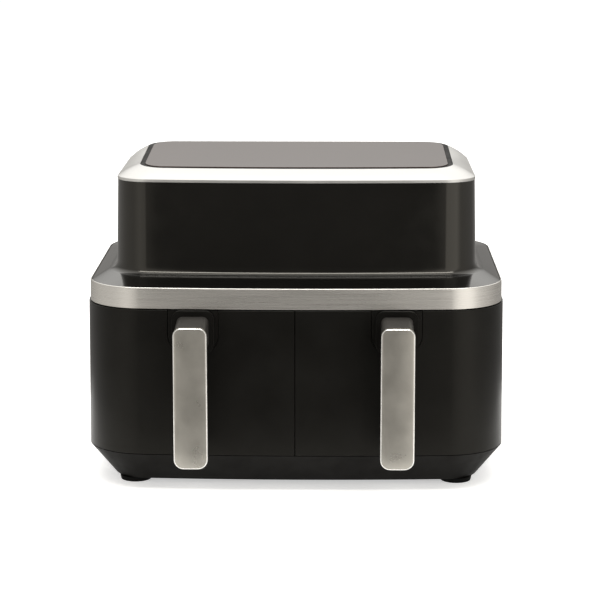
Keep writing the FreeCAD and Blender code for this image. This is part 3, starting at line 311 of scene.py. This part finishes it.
# %% The parts that get soft edges, with the most that an edge may get in metres
PAIRED_EDGES = {
    "handle_escutcheon": 0.0005, "drawer_inner": 0.0006,
    "drawer_gasket": 0.0008, "crisper_plate": 0.0004, "plate_bumpers": 0.0008, "basket": 0.0004,
}
SINGLE_EDGES = {
    "rear_cover": 0.0006, "exhaust_grille": 0.0004, "rubber_feet": 0.0009, "cord_gland": 0.0006,
    "base_pan": 0.0004, "front_frame": 0.0005, "lower_housing": 0.0004,
}
for part, width in PAIRED_EDGES.items():
    for side in ("_left", "_right"):
        piece = soft_copy(part + side, width)
        print("softened", part + side, len(piece.data.polygons), "faces")

# %% The handle's core: a stem paled by painted sheen, and a collar as black as the wall behind it
STEM_EDGE = 0.0008
# The stem's plastic is about six times paler than the black moulding: painted sheen, standing in for the
# ceiling's light on the stem's top. The collar keeps the plain black.
stem_plastic_with_painted_sheen = new_finish("handle stem plastic", (0.026, 0.024, 0.021), 0.42)
rough_by(stem_plastic_with_painted_sheen, noise(stem_plastic_with_painted_sheen, 40.0, 5.0), 0.38, 0.48)
tint_by(stem_plastic_with_painted_sheen, noise(stem_plastic_with_painted_sheen, 60.0, 4.0), (0.023, 0.0215, 0.019), (0.031, 0.0285, 0.025))
bump_by(stem_plastic_with_painted_sheen, (noise(stem_plastic_with_painted_sheen, 1300.0, 3.0), 0.00004))
COLLAR_REACH = 0.0025
for side in ("_left", "_right"):
    core = soft_copy("handle_core" + side, STEM_EDGE, 3, stem_plastic_with_painted_sheen)
    core.data.materials.append(satin_black)
    wall_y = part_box("drawer_front" + side)[0].y
    for face in core.data.polygons:
        if face.center.y > wall_y - COLLAR_REACH:
            face.material_index = 1
for part, width in SINGLE_EDGES.items():
    piece = soft_copy(part, width)
    print("softened", part, len(piece.data.polygons), "faces")

# %% [markdown]
# ## Plan lines: a ring that is spun, not typed in
# Seen from above, the body is a gently bowed front, two round corners, straight sides and two rounder
# back corners. A fryer maker draws that line once and stacks copies of it at different heights. Here
# one vertex starts at the middle of the front, is spun round the bow's centre, then round the corner's
# centre, is pulled along the side, spun round the back corner and pulled to the middle of the back.
# A mirror closes the ring. All rings have the same number of points, so bridging two of them gives an
# even skin, and a stack of rings gives a drafted wall, a cove or a crown. Bridging needs a direction to
# go in, so two rings of one height are set a hair apart.

# %% The plans of the body, the tower and the panel opening
MM = 0.001
base_low, base_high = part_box("base_pan")
ring_low, ring_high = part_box("top_bezel")
seal_low, seal_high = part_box("panel_seal")
band_low, band_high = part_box("trim_band")
BODY_DRAFT = 0.0072
RING_PROUD = 1.294 * MM
SEAL_FIT = 0.15 * MM
BODY_PLAN = {"half": base_high.x, "front": base_low.y, "back": base_high.y,
             "corner": 57 * MM, "rear": 57 * MM, "bow": 2250 * MM}
TOWER_PLAN = {"half": ring_high.x + RING_PROUD, "front": ring_low.y - RING_PROUD,
              "back": ring_high.y + RING_PROUD, "corner": 34 * MM, "rear": 58 * MM, "bow": 1750 * MM}
OPENING_PLAN = {"half": seal_high.x + SEAL_FIT, "front": seal_low.y - SEAL_FIT,
                "back": seal_high.y + SEAL_FIT, "corner": 26 * MM, "rear": 26 * MM, "bow": 2200 * MM}
ARC_STEPS = 12
HAIR = 0.03 * MM
print("body half width", round(BODY_PLAN["half"], 4), "tower half width", round(TOWER_PLAN["half"], 4))


# %% Spinning and pulling the tip of a line
def spin_tip(bm, tip, centre, angle, steps):
    made = bmesh.ops.spin(bm, geom=[tip], cent=centre, axis=(0, 0, 1), dvec=(0, 0, 0), angle=angle,
                          steps=steps, use_duplicate=False)
    return [item for item in made["geom_last"] if isinstance(item, bmesh.types.BMVert)][0]


def pull_tip(bm, tip, place):
    made = bmesh.ops.extrude_vert_indiv(bm, verts=[tip])
    made["verts"][0].co = place
    return made["verts"][0]


def plan_ring(bm, plan, inset, z, slope=0.0):
    """One closed plan line, moved in by inset, at height z; slope tips it about its front."""
    half, front, back = plan["half"] - inset, plan["front"] + inset, plan["back"] - inset
    corner, rear, bow = plan["corner"] - inset, plan["rear"] - inset, plan["bow"] - inset
    bow_y = front + bow
    corner_x = half - corner
    corner_y = bow_y - sqrt((bow - corner) ** 2 - corner_x ** 2)
    swing = atan2(corner_x, bow_y - corner_y)
    old_edges, old_verts = set(bm.edges), set(bm.verts)
    tip = bm.verts.new((0, front, z))
    tip = spin_tip(bm, tip, (0, bow_y, z), swing, ARC_STEPS)
    tip = spin_tip(bm, tip, (corner_x, corner_y, z), pi / 2 - swing, ARC_STEPS)
    tip = pull_tip(bm, tip, (half, back - rear, z))
    tip = spin_tip(bm, tip, (half - rear, back - rear, z), pi / 2, ARC_STEPS)
    pull_tip(bm, tip, (0, back, z))
    halves = [v for v in bm.verts if v not in old_verts] + [e for e in bm.edges if e not in old_edges]
    bmesh.ops.mirror(bm, geom=halves, matrix=Matrix.Identity(4), merge_dist=MERGE / 2, axis="X")
    fresh = [v for v in bm.verts if v not in old_verts]
    if slope:
        bmesh.ops.rotate(bm, verts=fresh, cent=(0, plan["front"], z), matrix=Matrix.Rotation(slope, 3, "X"))
    return [e for e in bm.edges if e not in old_edges]


def ring_shell(sections, closed=True):
    """Bridge a stack of plan rings. Closed, the last meets the first: a wall with a thickness."""
    bm = bmesh.new()
    rings = []
    last_z = sections[-1][2] + HAIR if closed else -1.0
    for plan, inset, z, *slope in sections:
        if abs(z - last_z) < HAIR * 1.5:
            z = last_z + 2 * HAIR
        last_z = z
        rings.append(plan_ring(bm, plan, inset, z, *slope))
    pairs = list(zip(rings, rings[1:]))
    if closed:
        pairs.append((rings[-1], rings[0]))
    for low_ring, high_ring in pairs:
        bmesh.ops.bridge_loops(bm, edges=low_ring + high_ring)
    if not closed:
        for end in (rings[0], rings[-1]):
            bmesh.ops.edgenet_fill(bm, edges=end)
    bmesh.ops.recalc_face_normals(bm, faces=bm.faces)
    return bm


def report(piece):
    size = piece.dimensions
    mesh = piece.data
    print(piece.name, len(mesh.polygons), "faces", [round(v * 1000, 1) for v in size], "mm")


# %% [markdown]
# ## The steel band
# A real band is a strip of stainless steel, brushed along its length, bent round the body and welded
# at the back. Its top edge is rolled inwards, which is why a thin bright line runs all the way round.
# Six outer rings draw the flat and the rolled edge, two inner rings give the strip its thickness.

# %% The band
BAND_IN = 1.3 * MM + BODY_DRAFT * (band_low.z - base_high.z)
BAND_LEAN = BODY_DRAFT * (band_high.z - band_low.z)
BAND_WALL = 1.2 * MM
band_in_top = BAND_IN + BAND_LEAN
band = ring_shell([
    (BODY_PLAN, BAND_IN + 0.25 * MM, band_low.z),
    (BODY_PLAN, BAND_IN, band_low.z + 0.3 * MM),
    (BODY_PLAN, band_in_top, band_high.z - 2.0 * MM),
    (BODY_PLAN, band_in_top + 0.12 * MM, band_high.z - 1.1 * MM),
    (BODY_PLAN, band_in_top + 0.42 * MM, band_high.z - 0.4 * MM),
    (BODY_PLAN, band_in_top + 0.9 * MM, band_high.z),
    (BODY_PLAN, band_in_top + BAND_WALL, band_high.z),
    (BODY_PLAN, BAND_IN + BAND_WALL, band_low.z),
])
report(place_piece(band, "steel_trim_band", "trim_band"))

# %% [markdown]
# ## Deck, cove and tower
# The upper housing is one gloss moulding. Its skirt drops inside the band, the deck rises a little
# towards the tower, and a cove of nine millimetres turns the deck into the tower's wall. The cove is
# what draws the bright line at the foot of the tower, so it gets a ring every nine degrees.

# %% The upper housing
housing_low, housing_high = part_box("upper_housing")
SKIRT_IN = band_in_top + BAND_WALL + 0.3 * MM
COVE = 9 * MM
COVE_RINGS = 10
DECK_Z = band_high.z + 5.4 * MM
HOUSING_WALL = 3 * MM
TOWER_LEAN = 1.794 * MM
EDGE_ROUND = 0.9 * MM


def housing_rings(thick):
    """Rings of the moulding's skin, moved in by a wall thickness."""
    rings = [(BODY_PLAN, SKIRT_IN + thick, housing_low.z),
             (BODY_PLAN, SKIRT_IN + thick, band_high.z - EDGE_ROUND - thick),
             (BODY_PLAN, SKIRT_IN + thick + 0.3 * EDGE_ROUND, band_high.z - 0.3 * EDGE_ROUND - thick),
             (BODY_PLAN, SKIRT_IN + thick + EDGE_ROUND, band_high.z + 0.1 * EDGE_ROUND - thick)]
    for step in range(COVE_RINGS + 1):
        angle = pi / 2 * step / COVE_RINGS
        rings.append((TOWER_PLAN, thick - COVE * (1 - sin(angle)),
                      DECK_Z + COVE * (1 - cos(angle)) - thick * cos(angle)))
    rings.append((TOWER_PLAN, thick + TOWER_LEAN * 0.5, (DECK_Z + COVE + housing_high.z) / 2))
    rings.append((TOWER_PLAN, thick + TOWER_LEAN, housing_high.z))
    return rings


housing = ring_shell(housing_rings(0.0) + housing_rings(HOUSING_WALL)[::-1])
housing_piece = place_piece(housing, "gloss_upper_housing", "upper_housing")
report(housing_piece)


# %% [markdown]
# ## Rounded slabs
# Handles, cut-outs and tabs are all slabs with rounded corners seen from the front. A grid of one face
# is stood up, its corners are bevelled as vertices, which draws true arcs, and the face is extruded.

# %% A rounded slab
def slab(x0, x1, y0, y1, z0, z1, low, high, steps=8):
    bm = bmesh.new()
    bmesh.ops.create_grid(bm, x_segments=1, y_segments=1, size=0.5)
    bmesh.ops.rotate(bm, verts=bm.verts, cent=(0, 0, 0), matrix=Matrix.Rotation(pi / 2, 3, "X"))
    bmesh.ops.scale(bm, verts=bm.verts, vec=(x1 - x0, 1, z1 - z0))
    middle = (z0 + z1) / 2
    bmesh.ops.translate(bm, verts=bm.verts, vec=((x0 + x1) / 2, y0, middle))
    for radius, upper in ((low, False), (high, True)):
        corners = [v for v in bm.verts if (v.co.z > middle) == upper]
        bmesh.ops.bevel(bm, geom=corners, offset=radius, offset_type="OFFSET", segments=steps, profile=0.5,
                        affect="VERTICES", clamp_overlap=False, material=-1)
    made = bmesh.ops.extrude_face_region(bm, geom=bm.faces[:])
    bmesh.ops.translate(bm, verts=[v for v in made["geom"] if isinstance(v, bmesh.types.BMVert)],
                        vec=(0, y1 - y0, 0))
    bmesh.ops.recalc_face_normals(bm, faces=bm.faces)
    return bm


def carve(piece, cutter_bm):
    """Cut a shape out of a piece and keep the result as its mesh."""
    mesh = bpy.data.meshes.new("cutter")
    cutter_bm.to_mesh(mesh)
    cutter_bm.free()
    cutter = bpy.data.objects.new("cutter", mesh)
    bpy.context.scene.collection.objects.link(cutter)
    cut = piece.modifiers.new("cut", "BOOLEAN")
    cut.object = cutter
    cut.operation = "DIFFERENCE"
    cut.solver = "EXACT"
    bpy.context.view_layer.update()
    result = bpy.data.meshes.new_from_object(piece.evaluated_get(bpy.context.evaluated_depsgraph_get()))
    piece.modifiers.remove(cut)
    piece.data = result
    bpy.data.objects.remove(cutter)
    return piece


grille_low, grille_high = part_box("exhaust_grille")
GRILLE_FIT = 0.4 * MM
GRILLE_CORNER = 6 * MM
GRILLE_CUT = 12 * MM
carve(housing_piece, slab(grille_low.x - GRILLE_FIT, grille_high.x + GRILLE_FIT, grille_high.y - GRILLE_CUT,
                          grille_high.y + GRILLE_CUT, grille_low.z - GRILLE_FIT, grille_high.z + GRILLE_FIT,
                          GRILLE_CORNER, GRILLE_CORNER))
report(housing_piece)

# %% [markdown]
# ## The silver ring and the glass
# The ring on top is a lacquered moulding: a small upright lip at its foot, a soft edge, then a crowned
# slope up to the opening for the glass. The crown is very slightly domed, so its outline against the
# background is a curve. A black rubber channel runs round the glass, and the glass stands a
# millimetre proud of it, which makes the fine black line in front of the panel.

# %% The silver ring
PANEL_SLOPE = radians(2.7)
SLOPE_RISE = 12.4 * MM
PANEL_PROUD = 1.0 * MM
panel_z = housing_high.z + SLOPE_RISE
RING_WALL = 2.4 * MM
LIP = 2.3 * MM
DOME = ((0.12, 0.35), (0.3, 0.75), (0.5, 0.9), (0.7, 0.7), (0.9, 0.28))
lip_z = ring_low.z + LIP


def between(start, end, share, lift):
    """A plan part of the way from one to another, for the rings of the dome."""
    plan = {key: start[0][key] - start[1] + (end[0][key] - start[0][key] + start[1]) * share
            for key in ("half", "corner", "rear", "bow")}
    plan["front"] = start[0]["front"] + start[1] + (end[0]["front"] - start[0]["front"] - start[1]) * share
    plan["back"] = start[0]["back"] - start[1] + (end[0]["back"] - start[0]["back"] + start[1]) * share
    return (plan, 0.0, start[2] + (end[2] - start[2]) * share + lift, PANEL_SLOPE * share)


ring_foot = (TOWER_PLAN, RING_PROUD + 0.9 * MM, lip_z + 0.8 * MM)
ring_top = (OPENING_PLAN, 0.0, panel_z - PANEL_PROUD)
dome = [between(ring_foot, ring_top, share, lift * MM) for share, lift in DOME]
silver = ring_shell(
    [(TOWER_PLAN, RING_PROUD + 0.2 * MM, ring_low.z),
     (TOWER_PLAN, RING_PROUD, ring_low.z + 0.25 * MM),
     (TOWER_PLAN, RING_PROUD, lip_z - 0.2 * MM),
     (TOWER_PLAN, RING_PROUD + 0.3 * MM, lip_z + 0.45 * MM),
     ring_foot] + dome +
    [(OPENING_PLAN, 0.0, panel_z - PANEL_PROUD, PANEL_SLOPE),
     (OPENING_PLAN, 0.0, panel_z - PANEL_PROUD - RING_WALL, PANEL_SLOPE),
     (TOWER_PLAN, RING_PROUD + RING_WALL, lip_z - RING_WALL * 0.3),
     (TOWER_PLAN, RING_PROUD + RING_WALL, ring_low.z)])
report(place_piece(silver, "silver_top_ring", "top_bezel"))

# %% The rubber channel and the glass
SEAL_WIDTH = 4.7 * MM
SEAL_DEPTH = 5.0 * MM
GLASS = 2.8 * MM
GLASS_SINK = 0.2 * MM
GLASS_EDGE = 0.5 * MM
seal_top = panel_z - PANEL_PROUD - GLASS_SINK
channel = ring_shell([
    (OPENING_PLAN, SEAL_FIT, panel_z - SEAL_DEPTH, PANEL_SLOPE),
    (OPENING_PLAN, SEAL_FIT, seal_top - 0.3 * MM, PANEL_SLOPE),
    (OPENING_PLAN, SEAL_FIT + 0.4 * MM, seal_top, PANEL_SLOPE),
    (OPENING_PLAN, SEAL_WIDTH - 0.2 * MM, seal_top, PANEL_SLOPE),
    (OPENING_PLAN, SEAL_WIDTH, seal_top - 0.4 * MM, PANEL_SLOPE),
    (OPENING_PLAN, SEAL_WIDTH, panel_z - SEAL_DEPTH, PANEL_SLOPE),
])
report(place_piece(channel, "panel_channel_seal", "panel_seal"))
glass_top = panel_z - GLASS_SINK
glass = ring_shell([
    (OPENING_PLAN, SEAL_WIDTH + SEAL_FIT, glass_top - GLASS, PANEL_SLOPE),
    (OPENING_PLAN, SEAL_WIDTH + SEAL_FIT, glass_top - GLASS_EDGE, PANEL_SLOPE),
    (OPENING_PLAN, SEAL_WIDTH + SEAL_FIT + 0.3 * GLASS_EDGE, glass_top - 0.3 * GLASS_EDGE, PANEL_SLOPE),
    (OPENING_PLAN, SEAL_WIDTH + SEAL_FIT + GLASS_EDGE, glass_top, PANEL_SLOPE),
], closed=False)
report(place_piece(glass, "touch_glass", "control_panel"))

# %% [markdown]
# ## Drawer fronts
# Both drawer fronts are cut from one ring of the lower body: a wall three millimetres thick, drafted
# inwards a little as it rises. A plane cuts the ring across the sides, where the drawers end, and a
# second one splits it down the middle. A U-shaped notch takes the inset that carries the handle.

# %% Cutting with a plane
ON_PLANE = 0.00001


def cut_off(bm, place, away):
    """Cut a mesh with a plane and drop what lies on its far side."""
    bmesh.ops.bisect_plane(bm, geom=bm.verts[:] + bm.edges[:] + bm.faces[:], plane_co=place, plane_no=away)
    beyond = [v for v in bm.verts if (v.co - Vector(place)).dot(Vector(away)) > ON_PLANE]
    bmesh.ops.delete(bm, geom=beyond, context="VERTS")


# %% The two fronts
tab_low, tab_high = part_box("handle_escutcheon_right")
TAB_GAP = 0.5 * MM
TAB_CORNER = 15 * MM
FRONT_WALL = 3 * MM
NOTCH_FRONT, NOTCH_BACK = -160 * MM, -100 * MM
NOTCH_ABOVE = 20 * MM
NOTCH_TOP_CORNER = 1 * MM
FRONT_EDGE = 0.3 * MM
for side, name in ((1, "right"), (-1, "left")):
    node_name = "drawer_front_" + name
    front_low, front_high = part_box(node_name)
    low_in = BODY_DRAFT * (front_low.z - base_high.z)
    high_in = BODY_DRAFT * (front_high.z - base_high.z)
    front = ring_shell([
        (BODY_PLAN, low_in, front_low.z), (BODY_PLAN, high_in, front_high.z),
        (BODY_PLAN, high_in + FRONT_WALL, front_high.z), (BODY_PLAN, low_in + FRONT_WALL, front_low.z)])
    seam_x = front_low.x if side > 0 else front_high.x
    cut_off(front, (0, front_high.y, 0), (0, 1, 0))
    cut_off(front, (seam_x, 0, 0), (-side, 0, 0))
    bmesh.ops.holes_fill(front, edges=[e for e in front.edges if e.is_boundary])
    bmesh.ops.recalc_face_normals(front, faces=front.faces)
    piece = place_piece(front, "front_panel_" + name, node_name)
    x0, x1 = sorted((side * (tab_low.x - TAB_GAP), side * (tab_high.x + TAB_GAP)))
    carve(piece, slab(x0, x1, NOTCH_FRONT, NOTCH_BACK, tab_low.z - TAB_GAP, front_high.z + NOTCH_ABOVE,
                      TAB_CORNER + TAB_GAP, NOTCH_TOP_CORNER))
    soften = piece.modifiers.new("soft edges", "BEVEL")
    soften.width = FRONT_EDGE
    soften.segments = 2
    soften.limit_method = "ANGLE"
    soften.angle_limit = SHARP
    report(piece)

# %% [markdown]
# ## Silver grips
# Each grip is a flat bar of satin nickel that hangs in front of a black core. Its face is matt, but
# the chamfer round it is polished and coloured a paler metal, a painted highlight on the real polish,
# so it shows as a bright hairline. The slab is made first, then only the edges of its face are
# bevelled, and the faces that this makes get the second finish, polished with a painted highlight.
# Last the face is crowned by less than a millimetre, so that light runs off towards its sides.

# %% Two finishes for the grips
satin_nickel = new_finish("satin nickel", (0.60, 0.575, 0.515), 0.29, 1.0)
rough_by(satin_nickel, noise(satin_nickel, 35.0, 4.0), 0.26, 0.34)
tint_by(satin_nickel, noise(satin_nickel, 90.0, 5.0), (0.57, 0.545, 0.49), (0.63, 0.605, 0.545))
bump_by(satin_nickel, (noise(satin_nickel, 5.0, 0.0), 0.0003), (noise(satin_nickel, 60.0, 2.0), 0.000008))
# The rim's metal is paler than the face's satin nickel: a painted highlight, added to the real polish of
# its lower roughness.
polished_rim_with_painted_highlight = new_finish("polished rim", (0.74, 0.73, 0.70), 0.24, 1.0)
rough_by(polished_rim_with_painted_highlight, noise(polished_rim_with_painted_highlight, 300.0, 3.0), 0.16, 0.26)
tint_by(polished_rim_with_painted_highlight, noise(polished_rim_with_painted_highlight, 90.0, 3.0), (0.70, 0.69, 0.66), (0.78, 0.77, 0.74))
bump_by(polished_rim_with_painted_highlight, (noise(polished_rim_with_painted_highlight, 900.0, 2.0), 0.000005))

# %% The grips
RIM_CHAMFER = 1.2 * MM
CROWN = 185 * MM
CROWN_STRIPS = 9
GRIP_LOW_CORNER = 9 * MM
GRIP_HIGH_CORNER = 7.5 * MM
BACK_ROUND = 0.6 * MM
for name in ("left", "right"):
    node_name = "handle_grip_" + name
    low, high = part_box(node_name)
    grip = slab(low.x, high.x, low.y, high.y, low.z, high.z, GRIP_LOW_CORNER, GRIP_HIGH_CORNER)
    face_edges = [e for e in grip.edges if all(v.co.y < low.y + HAIR for v in e.verts)]
    rim = bmesh.ops.bevel(grip, geom=face_edges, offset=RIM_CHAMFER, offset_type="OFFSET", segments=3,
                          profile=0.5, affect="EDGES", clamp_overlap=True, material=-1)
    # The chamfer's faces take the paler rim metal, a painted highlight.
    for face in rim["faces"]:
        face.material_index = 1
    back_edges = [e for e in grip.edges if all(v.co.y > high.y - HAIR for v in e.verts)]
    bmesh.ops.bevel(grip, geom=back_edges, offset=BACK_ROUND, offset_type="OFFSET", segments=2,
                    profile=0.5, affect="EDGES", clamp_overlap=True, material=-1)
    grip_x = (low.x + high.x) / 2
    for step in range(1, CROWN_STRIPS):
        strip_x = low.x + (high.x - low.x) * step / CROWN_STRIPS
        bmesh.ops.bisect_plane(grip, geom=grip.verts[:] + grip.edges[:] + grip.faces[:],
                               plane_co=(strip_x, 0, 0), plane_no=(1, 0, 0))
    for vert in grip.verts:
        if vert.co.y < (low.y + high.y) / 2:
            vert.co.y += (vert.co.x - grip_x) ** 2 / (2 * CROWN)
    piece = place_piece(grip, "silver_grip_" + name, node_name, satin_nickel)
    piece.data.materials.append(polished_rim_with_painted_highlight)
    report(piece)

# %% [markdown]
# ## Even shading
# A rounded edge beside a big flat face pulls the flat face's shading askew. Weighting the normals by
# face area keeps the flats flat and lets only the narrow roundings turn the light.

# %% Weighted normals on every modelled piece
for piece in modelled:
    even = piece.modifiers.new("even shading", "WEIGHTED_NORMAL")
    even.keep_sharp = True
print("evened", len(modelled), "pieces")

# %% [markdown]
# ## Light, floor and camera
# Black gloss shows nothing but what it reflects, so the studio is built for its reflections. Straight
# ahead of the front it is nearly dark, which keeps the front black. A bright wall stands on each side,
# the right one brighter, and draws the light edges down the rounded corners. Behind the object the
# walls are dimmer, and the ceiling is white and reaches lower there, for the grey sheen of the glass
# and the pale slopes of the ring. The walls are painted on the world by direction: an angle round the
# object picks a brightness from a ramp, and height fades it to the white ceiling.

# %% The studio walls, as a world
world = bpy.data.worlds.new("studio")
bpy.context.scene.world = world
world.use_nodes = True
tree = world.node_tree
background = tree.nodes["Background"]


def world_node(kind, **values):
    node = tree.nodes.new(kind)
    for name, value in values.items():
        setattr(node, name, value)
    return node


def world_math(operation, first, second=None):
    node = world_node("ShaderNodeMath", operation=operation)
    for index, value in enumerate((first, second)):
        if isinstance(value, (int, float)):
            node.inputs[index].default_value = value
        elif value is not None:
            tree.links.new(value, node.inputs[index])
    return node.outputs[0]


direction = world_node("ShaderNodeSeparateXYZ")
tree.links.new(world_node("ShaderNodeTexCoord").outputs["Generated"], direction.inputs[0])
ahead_part = world_math("MULTIPLY", direction.outputs["Y"], -1.0)
round_angle = world_math("ARCTAN2", direction.outputs["X"], ahead_part)
round_share = world_math("ADD", world_math("DIVIDE", round_angle, 2 * pi), 0.5)
walls = world_node("ShaderNodeValToRGB")
tree.links.new(round_share, walls.inputs["Fac"])
WALL_BRIGHTNESS = (
    (-180, 0.36), (-150, 0.40), (-110, 0.66), (-60, 0.74), (-38, 1.05), (-20, 0.90), (-14, 0.17),
    (12, 0.17), (18, 1.40), (52, 1.60), (68, 0.80), (95, 0.64), (122, 0.42), (180, 0.36),
)
WALL_GREEN, WALL_BLUE = 0.97, 0.925
stops = walls.color_ramp.elements
while len(stops) < len(WALL_BRIGHTNESS):
    stops.new(0.5)
for stop, (angle, bright) in zip(stops, WALL_BRIGHTNESS):
    stop.position = angle / 360 + 0.5
    stop.color = (bright, bright * WALL_GREEN, bright * WALL_BLUE, 1.0)

# %% The ceiling, and a white backdrop that only the camera sees
CEILING_BEHIND = 0.55
CEILING_START, CEILING_FULL = 0.69, 0.93
CEILING = (1.8, 1.78, 1.74, 1.0)
BACKDROP = (1.05, 1.05, 1.05, 1.0)
MIX_FACTOR, MIX_A, MIX_B, MIX_RESULT = 0, 6, 7, 2


def world_mix(share, first, second_colour):
    """Fade a colour to a constant one by a share."""
    mix = world_node("ShaderNodeMix", data_type="RGBA")
    tree.links.new(share, mix.inputs[MIX_FACTOR])
    tree.links.new(first, mix.inputs[MIX_A])
    mix.inputs[MIX_B].default_value = second_colour
    return mix.outputs[MIX_RESULT]


behind_lift = world_math("MULTIPLY", direction.outputs["Y"], CEILING_BEHIND)
height = world_math("ADD", direction.outputs["Z"], behind_lift)
ceiling_share = world_node("ShaderNodeMapRange")
limits = {"From Min": CEILING_START, "From Max": CEILING_FULL, "To Min": 0.0, "To Max": 1.0}
for socket, value in limits.items():
    ceiling_share.inputs[socket].default_value = value
tree.links.new(height, ceiling_share.inputs["Value"])
dome = world_mix(ceiling_share.outputs["Result"], walls.outputs["Color"], CEILING)
camera_ray = world_node("ShaderNodeLightPath").outputs["Is Camera Ray"]
tree.links.new(world_mix(camera_ray, dome, BACKDROP), background.inputs["Color"])
bpy.context.scene.view_settings.view_transform = "Standard"
print("studio walls:", len(WALL_BRIGHTNESS), "stops")

# %% A flat sheet on the ground
def flat_sheet(name, wide, deep, place=(0.0, 0.0, 0.0)):
    bm = bmesh.new()
    bmesh.ops.create_grid(bm, x_segments=1, y_segments=1, size=0.5)
    bmesh.ops.scale(bm, verts=bm.verts, vec=(wide, deep, 1.0))
    bmesh.ops.translate(bm, verts=bm.verts, vec=place)
    mesh = bpy.data.meshes.new(name)
    bm.to_mesh(mesh)
    bm.free()
    sheet = bpy.data.objects.new(name, mesh)
    bpy.context.scene.collection.objects.link(sheet)
    return sheet


# %% A pale floor that only the camera sees
FLOOR_SPAN = 12.0
WHITE = (1.0, 1.0, 1.0, 1.0)
floor = flat_sheet("floor", FLOOR_SPAN, FLOOR_SPAN)
floor_finish = new_finish("pale floor", (0.88, 0.88, 0.88), 0.7,
                          Emission_Strength=0.45, Emission_Color=WHITE)
floor_nodes = floor_finish.node_tree.nodes
clear = add_node(floor_finish, "ShaderNodeBsdfTransparent")
either = add_node(floor_finish, "ShaderNodeMixShader")
wire(floor_finish, add_node(floor_finish, "ShaderNodeLightPath"), "Is Camera Ray", either, "Fac")
floor_links = floor_finish.node_tree.links
floor_links.new(clear.outputs[0], either.inputs[1])
floor_links.new(floor_nodes["Principled BSDF"].outputs[0], either.inputs[2])
floor_links.new(either.outputs[0], floor_nodes["Material Output"].inputs[0])
floor.data.materials.append(floor_finish)

# %% A glowing mat under the object
MAT_WIDE, MAT_DEEP = 0.9, 0.54
MAT_PLACE = (0.0, -0.015, 0.0002)
mat = flat_sheet("mat", MAT_WIDE, MAT_DEEP, MAT_PLACE)
mat.data.materials.append(
    new_finish("pale mat", (0.88, 0.88, 0.87), 0.7, Emission_Strength=0.5, Emission_Color=WHITE))
print("floor and mat set")


# %% A soft panel of light
def soft_panel(name, place, target, wide, high, power, colour):
    light = bpy.data.lights.new(name, "AREA")
    light.shape = "RECTANGLE"
    light.size = wide
    light.size_y = high
    light.energy = power
    light.color = colour
    lamp = bpy.data.objects.new(name, light)
    lamp.location = place
    aim = Vector(target) - Vector(place)
    lamp.rotation_euler = aim.to_track_quat("-Z", "Y").to_euler()
    bpy.context.scene.collection.objects.link(lamp)
    return lamp


soft_panel("ceiling strip", place=(0.0, -0.55, 2.2), target=(0, 0, 0.2), wide=2.2, high=0.35, power=22.0,
           colour=(1.0, 0.985, 0.96))
print("light set")

# %% Camera
LENS, SENSOR = 132.0, 36.0
CAMERA_PLACE = (0.0382, -2.147, 0.5846)
TURN = 0.0165
DIP = 0.1950
camera_data = bpy.data.cameras.new("camera")
camera_data.lens = LENS
camera_data.sensor_width = SENSOR
camera = bpy.data.objects.new("camera", camera_data)
camera.location = CAMERA_PLACE
ahead = Vector((-sin(TURN) * cos(DIP), cos(TURN) * cos(DIP), -sin(DIP)))
camera.rotation_euler = ahead.to_track_quat("-Z", "Y").to_euler()
bpy.context.scene.collection.objects.link(camera)
bpy.context.scene.camera = camera
